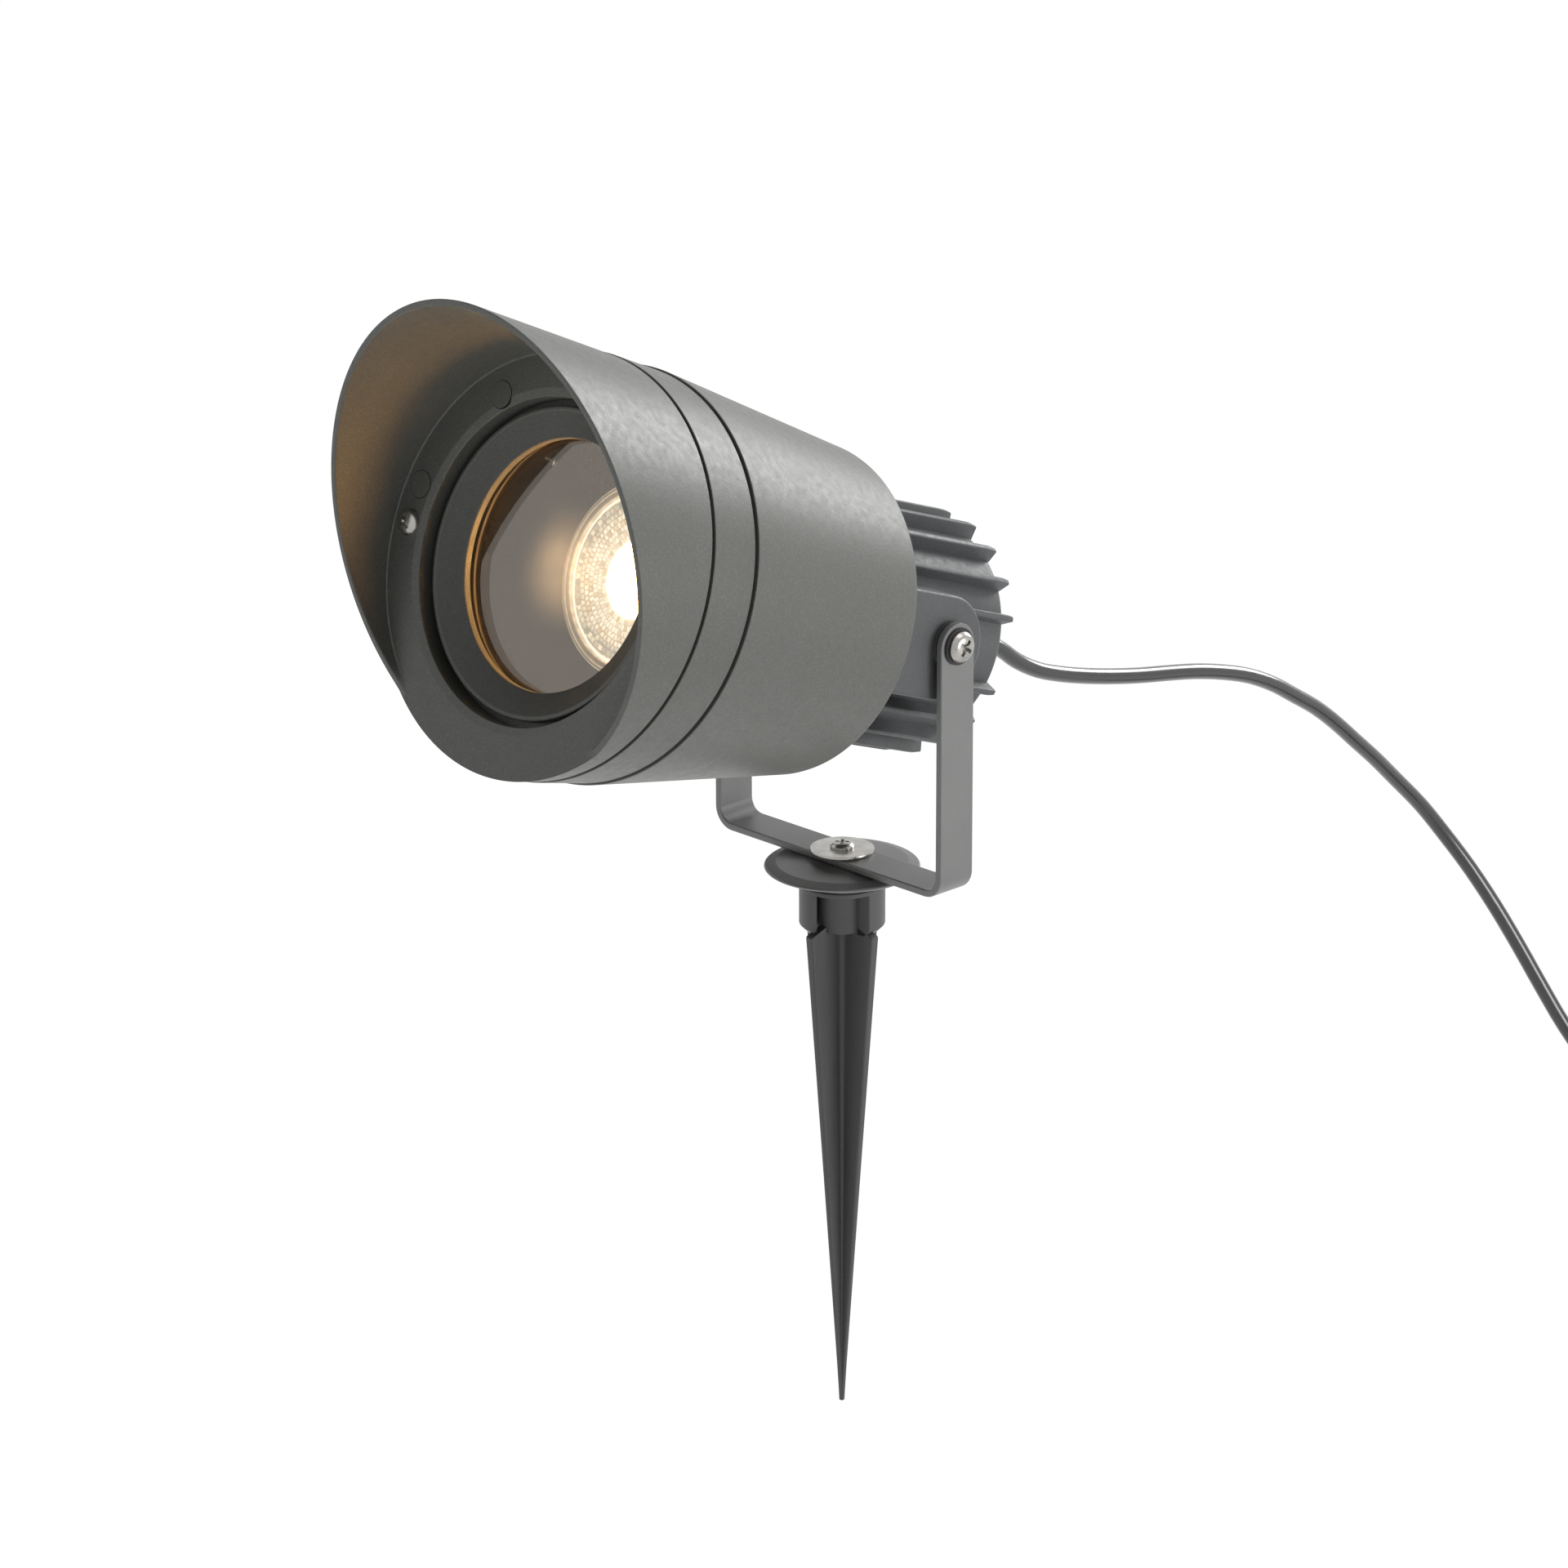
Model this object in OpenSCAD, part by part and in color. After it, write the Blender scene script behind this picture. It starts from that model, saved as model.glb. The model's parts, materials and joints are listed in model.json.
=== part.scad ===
// Garden spike spotlight: a tilting cast head with an oblique visor, in a
// strap bracket that turns on a plastic ground spike, with a thin lead.
// The origin is on the spike's axis, where the collar's underside meets the soil.
// Z is up, the beam points to -Y and the tilt axis runs along X.

/* [Bracket] */
// Width of the flat strap
strap_w = 12; // [11:0.5:18]
// Thickness of the strap
strap_t = 2; // [1.5:0.1:3]
// Overall width across the two legs
strap_span = 83.6; // [80:0.1:92]
// Inner radius of the two bends
strap_bend_r = 4; // [2:0.5:8]
// Height of the tilt axis above the strap's base
pivot_h = 66.2; // [62:0.1:80]

/* [Head] */
// Angle of the beam above level, as drawn
rest_tilt = 19.8; // [0:0.1:45]
// Distance of the beam axis below the tilt axis
axis_drop = 1.5; // [0:0.1:4]
// Distance from the tilt axis to the housing's rear edge
housing_start = 18.9; // [17:0.1:22]
// Length of the housing
housing_len = 71.5; // [66:0.5:80]
// Outer radius of the housing at its rear edge
housing_r_back = 43.2; // [41:0.1:45]
// Wall of the housing
wall = 3; // [2.5:0.1:3.5]
// Length of the front ring
ring_len = 16.8; // [16:0.1:20]
// Outer radius of the front ring at its front
ring_r_front = 54.2; // [53.6:0.1:56]
// How much narrower the front ring is at its back
ring_taper = 1.5; // [0.5:0.1:2]
// How far the housing's edge stands out from the front ring
edge_step = 0.5; // [0:0.1:1]
// Width of the ring that holds the glass, inside the glass's edge
opening_lip = 4.8; // [3.5:0.1:6]
// Width of the dark groove at each parting line
seam_w = 0.45; // [0.3:0.05:0.8]
// Depth of that groove
seam_d = 1.2; // [0.6:0.1:1.6]

/* [Cowl] */
// Distance from the cowl's back to its flat face
cowl_len = 6.3; // [5:0.1:9]
// How much narrower the cowl's back is than the front ring
cowl_step = 0.2; // [0:0.1:0.5]
// How much wider the cowl gets up to its flat face
cowl_taper = 0.7; // [0:0.1:1.5]
// Width of the flat face
face_w = 13.5; // [12:0.1:14]
// Thickness of the flat face
face_t = 3.3; // [2.5:0.1:4]
// Reach of the visor past the flat face, at its top
visor_reach = 43.9; // [20:0.1:60]
// Angle of the visor's cut, from square to the beam
visor_cut = 23.7; // [15:0.1:35]
// Widening of the visor, as radius per length
visor_slope = 0.095; // [0:0.005:0.15]
// Wall of the visor
visor_wall = 2.4; // [1.5:0.1:3]

/* [Rear body] */
// Distance from the tilt axis back to the rear face
rear_reach = 31.2; // [30:0.1:40]
// Radius of the finned body between its fins
rear_r = 28.8; // [27.5:0.1:30]
// Radius over the fins
fin_r = 32.6; // [30.5:0.1:35]
// Thickness of a fin at its tip
fin_t = 1.7; // [1:0.1:2.5]
// Thickness of a fin at its root
fin_root_t = 2.6; // [1.8:0.1:3.5]
// Number of fin places round the body
fin_places = 20; // [16:2:24]
// Half height of the flat pads that carry the tilt axis
pad_r = 13.8; // [12:0.1:15]
// Wall of the rear body
rear_wall = 4; // [3:0.1:5]

/* [Lamp] */
// Diameter of the lamp's face
lamp_d = 50; // [48:0.5:50.5]
// Length of the lamp without its pins
lamp_len = 40.4; // [38:0.1:42]
// Distance from the glass's front to the lamp's face
lamp_set_back = 27; // [24:0.1:28]
// Thickness of the glass
glass_t = 4; // [3:0.1:4.5]
// Width of the head round the glass
glass_inset = 18.4; // [18:0.1:20]

/* [Spike] */
// Length of the spike below the soil
spike_len = 136.6; // [100:0.1:200]
// Half width of the blades at the soil
blade_half_w = 12.4; // [11:0.1:14]
// Thickness of the blades at the soil
blade_t = 2.6; // [2:0.1:4]
// Radius of the collar's flange
collar_r = 11.9; // [11.5:0.1:13]
// Height of the collar
collar_h = 13.4; // [12:0.1:18]
// Radius of the rosette
rosette_r = 20.7; // [18:0.1:24]
// Height of the rosette with its hub
rosette_h = 6; // [5:0.1:8]

/* [Lead] */
// Diameter of the lead
cord_d = 4.5; // [4:0.1:5]
// Radius of the coil's outer turn
coil_r = 34; // [32:0.5:36]

/* [Hidden] */
$fn = 72;

// Overrun of every cut
over = 1;
// Clearance of parts that slip into each other
slip = 0.1;
// Clearance of parts that turn on each other
turn_gap = 0.05;

// Colours
paint = "#6d706c";
plastic = "#3b3a3c";
steel = "#c9cacb";
rubber = "#1c1c1c";

// Levels above the soil
rosette_top = collar_h + rosette_h;
strap_top = rosette_top + strap_t;
pivot_z = strap_top + pivot_h;
floor_z = -spike_len;

// Screws: head radius, head height, thread radius
base_head_r = 3.4;
base_head_h = 2.4;
base_thread_r = 2;
base_screw_len = 22;
base_washer_r = 8.9;
base_washer_t = 1;
base_nut_af = 7;
base_nut_h = 3.2;
pivot_head_r = 4.1;
pivot_head_h = 3;
pivot_thread_r = 2.5;
pivot_screw_len = 14;
head_washer_r = 4.9;
head_washer_t = 0.6;
friction_washer_r = 6;
friction_washer_t = 1.3;
small_head_r = 2.9;
small_head_h = 2.1;
small_thread_r = 1.5;
rear_screw_head_r = 3.8;
rear_screw_head_h = 2.8;
rear_screw_thread_r = 2;
rear_screw_len = 13;
rear_screw_ring_r = 20.9;
rear_boss_r = 4.1;
rear_boss_len = 12;

// Stations along the beam, from the tilt axis
rear_gasket_t = 1;
web_sink = 1;
lip_t = 2;
gasket_lip_t = 0.8;
housing_front = housing_start + housing_len;
ring_front = housing_front + ring_len;
face_s = ring_front + cowl_len;
web_front = ring_front - web_sink;
glass_seat = web_front - lip_t;
glass_front = glass_seat - gasket_lip_t;
lamp_face = glass_front - lamp_set_back;
lamp_back = lamp_face - lamp_len;
rear_face = -rear_reach;
rear_front = housing_start - rear_gasket_t;

// Radii of the head's outside and of what follows it
ring_r_back = ring_r_front - ring_taper;
housing_r_front = ring_r_back + edge_step;
cowl_r_back = ring_r_front - cowl_step;
cowl_r_face = cowl_r_back + cowl_taper;
face_r_in = cowl_r_face - face_w;
glass_r = ring_r_front - glass_inset;
opening_r = glass_r - opening_lip;

// Housing details
housing_slope = (housing_r_front - housing_r_back) / housing_len;
housing_edge = 1;
housing_back_hole_r = 14;
spigot_len = 5;
spigot_wall = 3;
spigot_side = 0.3;
spigot_bore_r = housing_r_front - wall - spigot_side;
spigot_bore_len = 6.4;
seal_groove_w = 1.4;
seal_groove_d = 1.1;
seal_r = 0.5;
seal_set_back = 1.4;
ledge_t = 3;
ledge_w = 3.8;
lug_r = 4;
plate_t = 1.5;
rim_t = 2.5;
plate_front = lamp_face - rim_t;
plate_back = plate_front - plate_t;
plate_screw_len = 6;
plate_screw_turn = 30;
plate_lug_r = 3.4;
plate_head_r = 2.3;
plate_screw_r = housing_inner(plate_back) - plate_head_r;

// Front ring and glass details
rib_w = 3.1;
rib_gap = 0.4;
rib_r = face_r_in - rib_gap;
rib_in_r = rib_r - rib_w;
rib_h = 4.6;
gasket_side_t = 1;
pocket_r = glass_r + gasket_side_t + slip;
pocket_wall = 5.6;
gasket_lip_w = 2.6;
gasket_lip_r = glass_r - gasket_lip_w;
web_t = 3;
clamp_t = 1.2;
clamp_r = pocket_r + pocket_wall;
clamp_screw_r = pocket_r + pocket_wall / 2;
clamp_screw_len = 5;
clamp_screw_head_r = 1.9;
clamp_screw_head_h = 1.2;
clamp_screw_thread_r = 1;
pocket_back = glass_front - glass_t - gasket_lip_t;

// Cowl details
cowl_wall = 3.2;
lip_wall = 2;
cowl_screw_in = 3.1;
cowl_screw_r = spigot_bore_r - cowl_screw_in;
cowl_screw_len = 32;
cowl_screw_sink = 0.4;
cowl_boss_r = 3.3;
mark_r = 2.7;
mark_h = 0.25;
mark_places = [13, 57, 123, 167];
mark_in = 0.4;
mark_ring_r = cowl_screw_r - mark_in;
cut_half = 2 * cowl_r_face;

// Lamp details
lamp_r = lamp_d / 2;
rim_w = 2.8;
lens_r = lamp_r - rim_w;
lens_t = 1;
lens_sink = 1.2;
rim_seat_w = 1.6;
lamp_neck_r = lamp_r - rim_seat_w;
lamp_base_r = 8.5;
lamp_waist_r = 9.5;
pin_r = 0.75;
pin_pitch = 5.3;
pin_len = 7;
pin_root = 2;
holder_w = 18;
holder_h = 12;
holder_plate_t = 1.5;
holder_plate_w = 41;
holder_plate_h = 12.4;
holder_screw_x = 17.2;
holder_screw_len = 4;
holder_back = housing_start + wall + holder_plate_t;
socket_r = 1.05;

// Rear details
cavity_r = rear_r - rear_wall;
cavity_back = rear_face + rear_wall;
pad_x = strap_span / 2 - strap_t - friction_washer_t - turn_gap;
pad_root_x = cavity_r + rear_wall / 4;
tip_space = 0.5;
pivot_tip_x = strap_span / 2 + turn_gap + head_washer_t - pivot_screw_len - tip_space;
pad_end_s = 1;
gland_r = 6;
gland_flange_af = 15;
gland_flange_t = 4;
gland_neck_len = 5;
gland_nut_r = 7;
gland_nut_len = 8;
gland_nut_wall = 2;
gland_chamfer = 1.2;
gland_seal_r = 4.4;
lock_nut_t = 3;
cord_hole_r = cord_d / 2 + turn_gap;
relief_len = 10;
relief_root_r = 4.8;
relief_tip_r = 3;
relief_s = rear_face - gland_flange_t - gland_nut_len;
cord_exit_s = relief_s - relief_len;
inlet_len = 8;
inlet_end_s = cavity_back + inlet_len;
post_r = 4;
post_y = -13;
post_len = 9;
block_w = 16;
block_h = 9;
block_t = 8;
block_screw_len = 12;
wire_r = 0.9;

// Coil and tie details
turn_space = 0.6;
coil_pitch = cord_d + turn_space;
tie_gap = 0.3;
tie_t = 0.5;
tie_w = 4;
tie_r = 1.5;

// Plug details
plug_r = cord_d / 2 + coil_pitch;
plug_step = 0.8;
plug_body_r = plug_r - plug_step;
plug_relief_len = 14;
plug_relief_r = 3.2;
plug_body_len = 22;
plug_nut_len = 16;
plug_nut_wall = 1.5;
plug_insert_r = 4.4;
plug_insert_len = 9;
plug_pin_r = 0.8;
plug_pin_root_r = 1;
plug_pin_pitch = 4;
plug_pin_len = 5.5;

// Spike details
tip_half_w = 0.55;
core_r = 3;
core_tip_r = 0.5;
flange_t = 1.3;
ear_r = 11.4;
ear_wall = 2;
ear_chamfer = 1.7;
boss_r = 6.9;
boss_floor = 0.4;
blade_rise = 2.4;
nut_level = 3;
nut_turn = 135;

// Rosette details
rosette_hub_r = 11.4;
rosette_hub_h = 3.6;
rosette_rim_t = 0.9;
rosette_flat_r = 10;
rosette_shoulder_r = 17.5;
rosette_shoulder_drop = 0.7;

module in_head() {
    translate([0, 0, pivot_z])
        rotate([90 - rest_tilt, 0, 0])
            translate([0, -axis_drop, 0])
                children();
}

// A tube along Z between two levels
module tube(r_out, r_in, from, to) {
    difference() {
        translate([0, 0, from])
            cylinder(h = to - from, r = r_out);
        translate([0, 0, from - over])
            cylinder(h = to - from + 2 * over, r = r_in);
    }
}

// A straight round hole from one level to another
module bore(r, from, to) {
    translate([0, 0, from])
        cylinder(h = to - from, r = r);
}

// Copies of a child at a radius, one at each of some angles
module places(r, angles) {
    for (a = angles)
        rotate([0, 0, a])
            translate([r, 0, 0])
                children();
}

// A pan head screw, its head seated on Z = 0 and its thread below
module pan_screw(head_r, head_h, thread_r, len) {
    cross_w = head_r / 4;
    cross_l = head_r * 1.05;
    cross_d = head_h * 0.55;
    difference() {
        rotate_extrude()
            polygon([[0, 0], [head_r, 0], [head_r, head_h * 0.35], [head_r * 0.93, head_h * 0.66],
                [head_r * 0.72, head_h * 0.88], [head_r * 0.4, head_h], [0, head_h]]);
        for (a = [0, 90])
            rotate([0, 0, a])
                translate([-cross_l / 2, -cross_w / 2, head_h - cross_d])
                    cube([cross_l, cross_w, cross_d + over]);
    }
    translate([0, 0, -len])
        cylinder(h = len, r = thread_r);
}

// A hexagonal nut on Z = 0
module hex_nut(af, h, hole_r) {
    difference() {
        cylinder(h = h, r = af / 2 / cos(30), $fn = 6);
        bore(hole_r, -over, h + over);
    }
}

// Both ends of the tilt axis: the child points outwards along Z
module both_pivots(x) {
    for (side = [0, 180])
        translate([0, 0, pivot_z])
            rotate([0, 90, side])
                translate([0, 0, x])
                    children();
}

// One blade of the spike, in the XZ plane
module blade() {
    intersection() {
        rotate([90, 0, 0])
            linear_extrude(height = 2 * blade_t, center = true)
                polygon([[-blade_half_w, 0], [-boss_r + over / 2, blade_rise],
                    [boss_r - over / 2, blade_rise], [blade_half_w, 0],
                    [tip_half_w, floor_z], [-tip_half_w, floor_z]]);
        rotate([90, 0, 90])
            linear_extrude(height = 3 * blade_half_w, center = true)
                polygon([[-blade_t / 2, collar_h], [blade_t / 2, collar_h], [blade_t / 2, 0],
                    [tip_half_w, floor_z], [-tip_half_w, floor_z], [-blade_t / 2, 0]]);
    }
}

module spike() {
    color(plastic) difference() {
        union() {
            blade();
            rotate([0, 0, 90])
                blade();
            translate([0, 0, floor_z])
                cylinder(h = spike_len, r1 = core_tip_r, r2 = core_r);
            translate([0, 0, boss_floor])
                cylinder(h = collar_h - boss_floor, r = boss_r);
            translate([0, 0, collar_h - flange_t])
                cylinder(h = flange_t, r = collar_r);
            intersection() {
                rotate_extrude()
                    polygon([[ear_r - ear_wall, 0], [ear_r - ear_chamfer, 0], [ear_r, ear_chamfer],
                        [ear_r, collar_h], [ear_r - ear_wall, collar_h]]);
                union() {
                    cube([2 * ear_r, 2 * ear_r, collar_h]);
                    translate([-2 * ear_r, -2 * ear_r, 0])
                        cube([2 * ear_r, 2 * ear_r, collar_h]);
                }
            }
        }
        bore(base_thread_r + slip, -nut_level, collar_h + over);
        // Nut pocket, open towards the rear window
        rotate([0, 0, nut_turn])
            translate([0, -base_nut_af / 2 - slip, nut_level])
                cube([boss_r + over, base_nut_af + 2 * slip, base_nut_h + 2 * slip]);
        rotate([0, 0, nut_turn])
            translate([0, 0, nut_level])
                cylinder(h = base_nut_h + 2 * slip, r = (base_nut_af / 2 + slip) / cos(30), $fn = 6);
    }
}

module rosette() {
    color(paint) difference() {
        translate([0, 0, collar_h])
            rotate_extrude()
                polygon([[0, 0], [rosette_hub_r, 0], [rosette_hub_r, rosette_hub_h],
                    [rosette_r - rosette_rim_t / 2, rosette_hub_h],
                    [rosette_r, rosette_hub_h + rosette_rim_t / 2],
                    [rosette_r - rosette_rim_t / 2, rosette_hub_h + rosette_rim_t],
                    [rosette_shoulder_r, rosette_h - rosette_shoulder_drop],
                    [rosette_flat_r, rosette_h], [0, rosette_h]]);
        bore(base_thread_r + slip, collar_h - over, rosette_top + over);
    }
}

module base_nut() {
    color(steel)
        translate([0, 0, nut_level + slip])
            rotate([0, 0, nut_turn])
                hex_nut(base_nut_af, base_nut_h, base_thread_r);
}

module base_screw() {
    color(steel)
        translate([0, 0, strap_top + base_washer_t + turn_gap])
            pan_screw(base_head_r, base_head_h, base_thread_r, base_screw_len);
}

module base_washer() {
    color(steel)
        translate([0, 0, strap_top + turn_gap])
            tube(base_washer_r, base_thread_r, 0, base_washer_t);
}

// A rectangle from the origin with round corners
module rounded(w, h, r) {
    translate([r, 0])
        square([w - 2 * r, h]);
    translate([0, r])
        square([w, h - 2 * r]);
    for (x = [r, w - r], y = [r, h - r])
        translate([x, y])
            circle(r = r);
}

// The U of the strap, seen along Y; its open end lies above the leg ends
module strap_outline(half_w, bend_r, low) {
    translate([-half_w, low])
        rounded(2 * half_w, pivot_z + 2 * strap_w - low, bend_r);
}

module bracket() {
    color(paint) difference() {
        intersection() {
            rotate([90, 0, 0])
                linear_extrude(height = strap_w, center = true)
                    difference() {
                        strap_outline(strap_span / 2, strap_bend_r + strap_t, rosette_top + turn_gap);
                        strap_outline(strap_span / 2 - strap_t, strap_bend_r, strap_top);
                    }
            union() {
                translate([-strap_span, -strap_w, 0])
                    cube([2 * strap_span, 2 * strap_w, pivot_z]);
                translate([0, 0, pivot_z])
                    rotate([0, 90, 0])
                        cylinder(h = 2 * strap_span, r = strap_w / 2, center = true);
            }
        }
        bore(base_thread_r + turn_gap, rosette_top - over, strap_top + over);
        translate([0, 0, pivot_z])
            rotate([0, 90, 0])
                cylinder(h = 2 * strap_span, r = pivot_thread_r + turn_gap, center = true);
    }
}

module friction_washers() {
    color(plastic)
        both_pivots(pad_x)
            tube(friction_washer_r, pivot_thread_r, 0, friction_washer_t);
}

module head_washers() {
    color(rubber)
        both_pivots(strap_span / 2 + turn_gap)
            tube(head_washer_r, pivot_thread_r, 0, head_washer_t);
}

module pivot_screws() {
    color(steel)
        both_pivots(strap_span / 2 + turn_gap + head_washer_t)
            pan_screw(pivot_head_r, pivot_head_h, pivot_thread_r, pivot_screw_len);
}

// One straight fin along the beam, its root inside the body
module fin() {
    root_r = rear_r - rear_wall / 2;
    translate([0, 0, rear_face])
        linear_extrude(height = rear_front - rear_face)
            polygon([[root_r, -fin_root_t / 2], [fin_r, -fin_t / 2], [fin_r, fin_t / 2],
                [root_r, fin_root_t / 2]]);
}

// The pad on one side, a slab with a round rear end
module pad() {
    slab = pad_x - pad_root_x;
    translate([pad_root_x, -pad_r, pad_end_s])
        cube([slab, 2 * pad_r, rear_front - pad_end_s]);
    translate([pad_root_x, 0, pad_end_s])
        rotate([0, 90, 0])
            cylinder(h = slab, r = pad_r);
}

module rear_body() {
    fin_step = 360 / fin_places;
    color(paint) in_head() difference() {
        union() {
            difference() {
                bore(rear_r, rear_face, rear_front);
                bore(cavity_r, cavity_back, rear_front + over);
            }
            for (i = [0 : fin_places - 1])
                if (i != 0 && i != fin_places / 2)
                    rotate([0, 0, i * fin_step])
                        fin();
            for (side = [0, 180])
                rotate([0, 0, side])
                    pad();
            places(rear_screw_ring_r, [90, 210, 330])
                bore(rear_boss_r, rear_front - rear_boss_len, rear_front);
            translate([0, post_y, 0])
                bore(post_r, cavity_back - rear_wall / 2, cavity_back + post_len);
        }
        places(rear_screw_ring_r, [90, 210, 330])
            bore(rear_screw_thread_r, rear_front - rear_boss_len - over, rear_front + over);
        bore(gland_r, rear_face - over, cavity_back + over);
        translate([0, post_y, 0])
            bore(small_thread_r, cavity_back + over, cavity_back + post_len + over);
        for (side = [0, 180])
            rotate([0, 0, side])
                translate([0, axis_drop * cos(side), 0])
                    rotate([0, 90, 0])
                        bore(pivot_thread_r, pivot_tip_x, pad_x + over);
    }
}

module rear_gasket() {
    color(rubber) in_head() difference() {
        tube(rear_r, housing_back_hole_r, rear_front, housing_start);
        places(rear_screw_ring_r, [90, 210, 330])
            bore(rear_screw_thread_r + slip, rear_front - over, housing_start + over);
    }
}

module rear_screws() {
    color(steel) in_head()
        places(rear_screw_ring_r, [90, 210, 330])
            translate([0, 0, housing_start + wall])
                pan_screw(rear_screw_head_r, rear_screw_head_h, rear_screw_thread_r, rear_screw_len);
}

// Inner radius of the housing at a station
function housing_inner(s) = housing_r_back - wall + (s - housing_start) * housing_slope;

module housing() {
    skin_front = housing_front - seam_w;
    skin_r = housing_r_front - seam_w * housing_slope;
    bore_back = housing_front - spigot_bore_len;
    ledge_back = plate_back - ledge_t;
    ledge_r = housing_inner(plate_back) - ledge_w;
    lug_back = plate_front + small_head_h + over;
    color(paint) in_head() difference() {
        union() {
            rotate_extrude()
                polygon([[housing_back_hole_r, housing_start], [housing_r_back - housing_edge, housing_start],
                    [housing_r_back, housing_start + housing_edge], [skin_r, skin_front],
                    [skin_r - seam_d, skin_front], [skin_r - seam_d, housing_front],
                    [spigot_bore_r, housing_front], [spigot_bore_r, bore_back],
                    [housing_inner(bore_back), bore_back], [housing_inner(plate_back), plate_back],
                    [ledge_r, plate_back], [ledge_r, ledge_back], [housing_inner(ledge_back), ledge_back],
                    [housing_inner(housing_start + wall), housing_start + wall],
                    [housing_back_hole_r, housing_start + wall]]);
            // Lugs that take the long cowl screws
            places(cowl_screw_r, [0, 180])
                bore(lug_r, lug_back, housing_front - spigot_len - slip);
            places(plate_screw_r, [plate_screw_turn, plate_screw_turn + 120, plate_screw_turn + 240])
                bore(plate_lug_r, ledge_back, plate_back);
        }
        places(cowl_screw_r, [0, 180])
            bore(small_thread_r, lug_back - over, housing_front);
        places(plate_screw_r, [plate_screw_turn, plate_screw_turn + 120, plate_screw_turn + 240])
            bore(small_thread_r, ledge_back - over, plate_back + over);
        places(rear_screw_ring_r, [90, 210, 330])
            bore(rear_screw_thread_r + slip, housing_start - over, housing_start + wall + over);
        places(holder_screw_x, [0, 180])
            bore(small_thread_r, housing_start - over, housing_start + wall + over);
    }
}

module ring_seal() {
    seal_s = housing_front - seal_set_back - seal_groove_w / 2;
    color(rubber) in_head()
        translate([0, 0, seal_s])
            rotate_extrude()
                translate([spigot_bore_r - turn_gap - seal_r, 0])
                    circle(r = seal_r, $fn = 24);
}

module front_ring() {
    skin_front = ring_front - seam_w;
    spigot_r = spigot_bore_r - slip;
    inner_r = spigot_r - spigot_wall;
    groove_front = housing_front - seal_set_back;
    rib_front = web_front + rib_h;
    color(paint) in_head() difference() {
        union() {
            rotate_extrude()
                polygon([[opening_r, web_front], [rib_in_r, web_front], [rib_in_r, rib_front],
                    [rib_r, rib_front], [rib_r, ring_front], [ring_r_front - seam_d, ring_front],
                    [ring_r_front - seam_d, skin_front], [ring_r_front, skin_front],
                    [ring_r_back, housing_front], [spigot_r, housing_front],
                    [spigot_r, groove_front], [spigot_r - seal_groove_d, groove_front],
                    [spigot_r - seal_groove_d, groove_front - seal_groove_w],
                    [spigot_r, groove_front - seal_groove_w],
                    [spigot_r, housing_front - spigot_len], [inner_r, housing_front - spigot_len],
                    [inner_r, web_front - web_t], [clamp_r, web_front - web_t], [clamp_r, pocket_back],
                    [pocket_r, pocket_back], [pocket_r, glass_seat], [opening_r, glass_seat]]);
            places(cowl_screw_r, [0, 180])
                bore(lug_r, housing_front, ring_front);
        }
        places(cowl_screw_r, [0, 180])
            bore(small_thread_r + slip, housing_front - spigot_len - over, ring_front + over);
        places(clamp_screw_r, [45, 135, 225, 315])
            bore(clamp_screw_thread_r, pocket_back - over, pocket_back + clamp_screw_len);
    }
}

// Outer radius of the visor at a distance past the flat face
function visor_r(reach) = cowl_r_face + visor_slope * reach;

module cowl() {
    root_r = cowl_r_face - visor_wall;
    blank = visor_reach + over;
    plate_s = face_s - face_t;
    color(paint) in_head() difference() {
        union() {
            rotate_extrude()
                polygon([[face_r_in, ring_front], [face_r_in + lip_wall, ring_front],
                    [face_r_in + lip_wall, plate_s], [cowl_r_back - cowl_wall, plate_s],
                    [cowl_r_back - cowl_wall, ring_front], [cowl_r_back, ring_front],
                    [cowl_r_face, face_s], [face_r_in, face_s]]);
            places(cowl_screw_r, [0, 180])
                bore(cowl_boss_r, ring_front, face_s - face_t / 2);
            places(mark_ring_r, mark_places)
                bore(mark_r, face_s - face_t / 2, face_s + mark_h);
            difference() {
                rotate_extrude()
                    polygon([[root_r, face_s - face_t / 2], [cowl_r_face - visor_wall / 2, face_s - face_t / 2],
                        [cowl_r_face, face_s], [visor_r(blank), face_s + blank],
                        [visor_r(blank) - visor_wall, face_s + blank], [root_r, face_s]]);
                // The oblique cut, through the visor's top at its full reach
                translate([0, visor_r(visor_reach), face_s + visor_reach])
                    rotate([visor_cut, 0, 0])
                        translate([-cut_half, -2 * cut_half, 0])
                            cube([2 * cut_half, 3 * cut_half, cut_half]);
            }
        }
        places(cowl_screw_r, [0, 180])
            bore(small_thread_r + slip, ring_front - over, face_s + over);
        places(cowl_screw_r, [0, 180])
            bore(small_head_r + slip, face_s - cowl_screw_sink, face_s + over);
    }
}

module cowl_screws() {
    color(steel) in_head()
        places(cowl_screw_r, [0, 180])
            translate([0, 0, face_s - cowl_screw_sink])
                pan_screw(small_head_r, small_head_h, small_thread_r, cowl_screw_len);
}

module glass() {
    color("#b9c2c4", 0.5) in_head()
        bore(glass_r, glass_front - glass_t, glass_front);
}

module glass_gasket() {
    side_r = pocket_r - slip;
    color(rubber) in_head()
        rotate_extrude()
            polygon([[gasket_lip_r, glass_seat], [side_r, glass_seat], [side_r, pocket_back],
                [gasket_lip_r, pocket_back], [gasket_lip_r, pocket_back + gasket_lip_t],
                [glass_r, pocket_back + gasket_lip_t], [glass_r, glass_front], [gasket_lip_r, glass_front]]);
}

module glass_clamp() {
    color(steel) in_head() difference() {
        tube(clamp_r - slip, gasket_lip_r, pocket_back - clamp_t, pocket_back);
        places(clamp_screw_r, [45, 135, 225, 315])
            bore(clamp_screw_thread_r + slip, pocket_back - clamp_t - over, pocket_back + over);
    }
}

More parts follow.
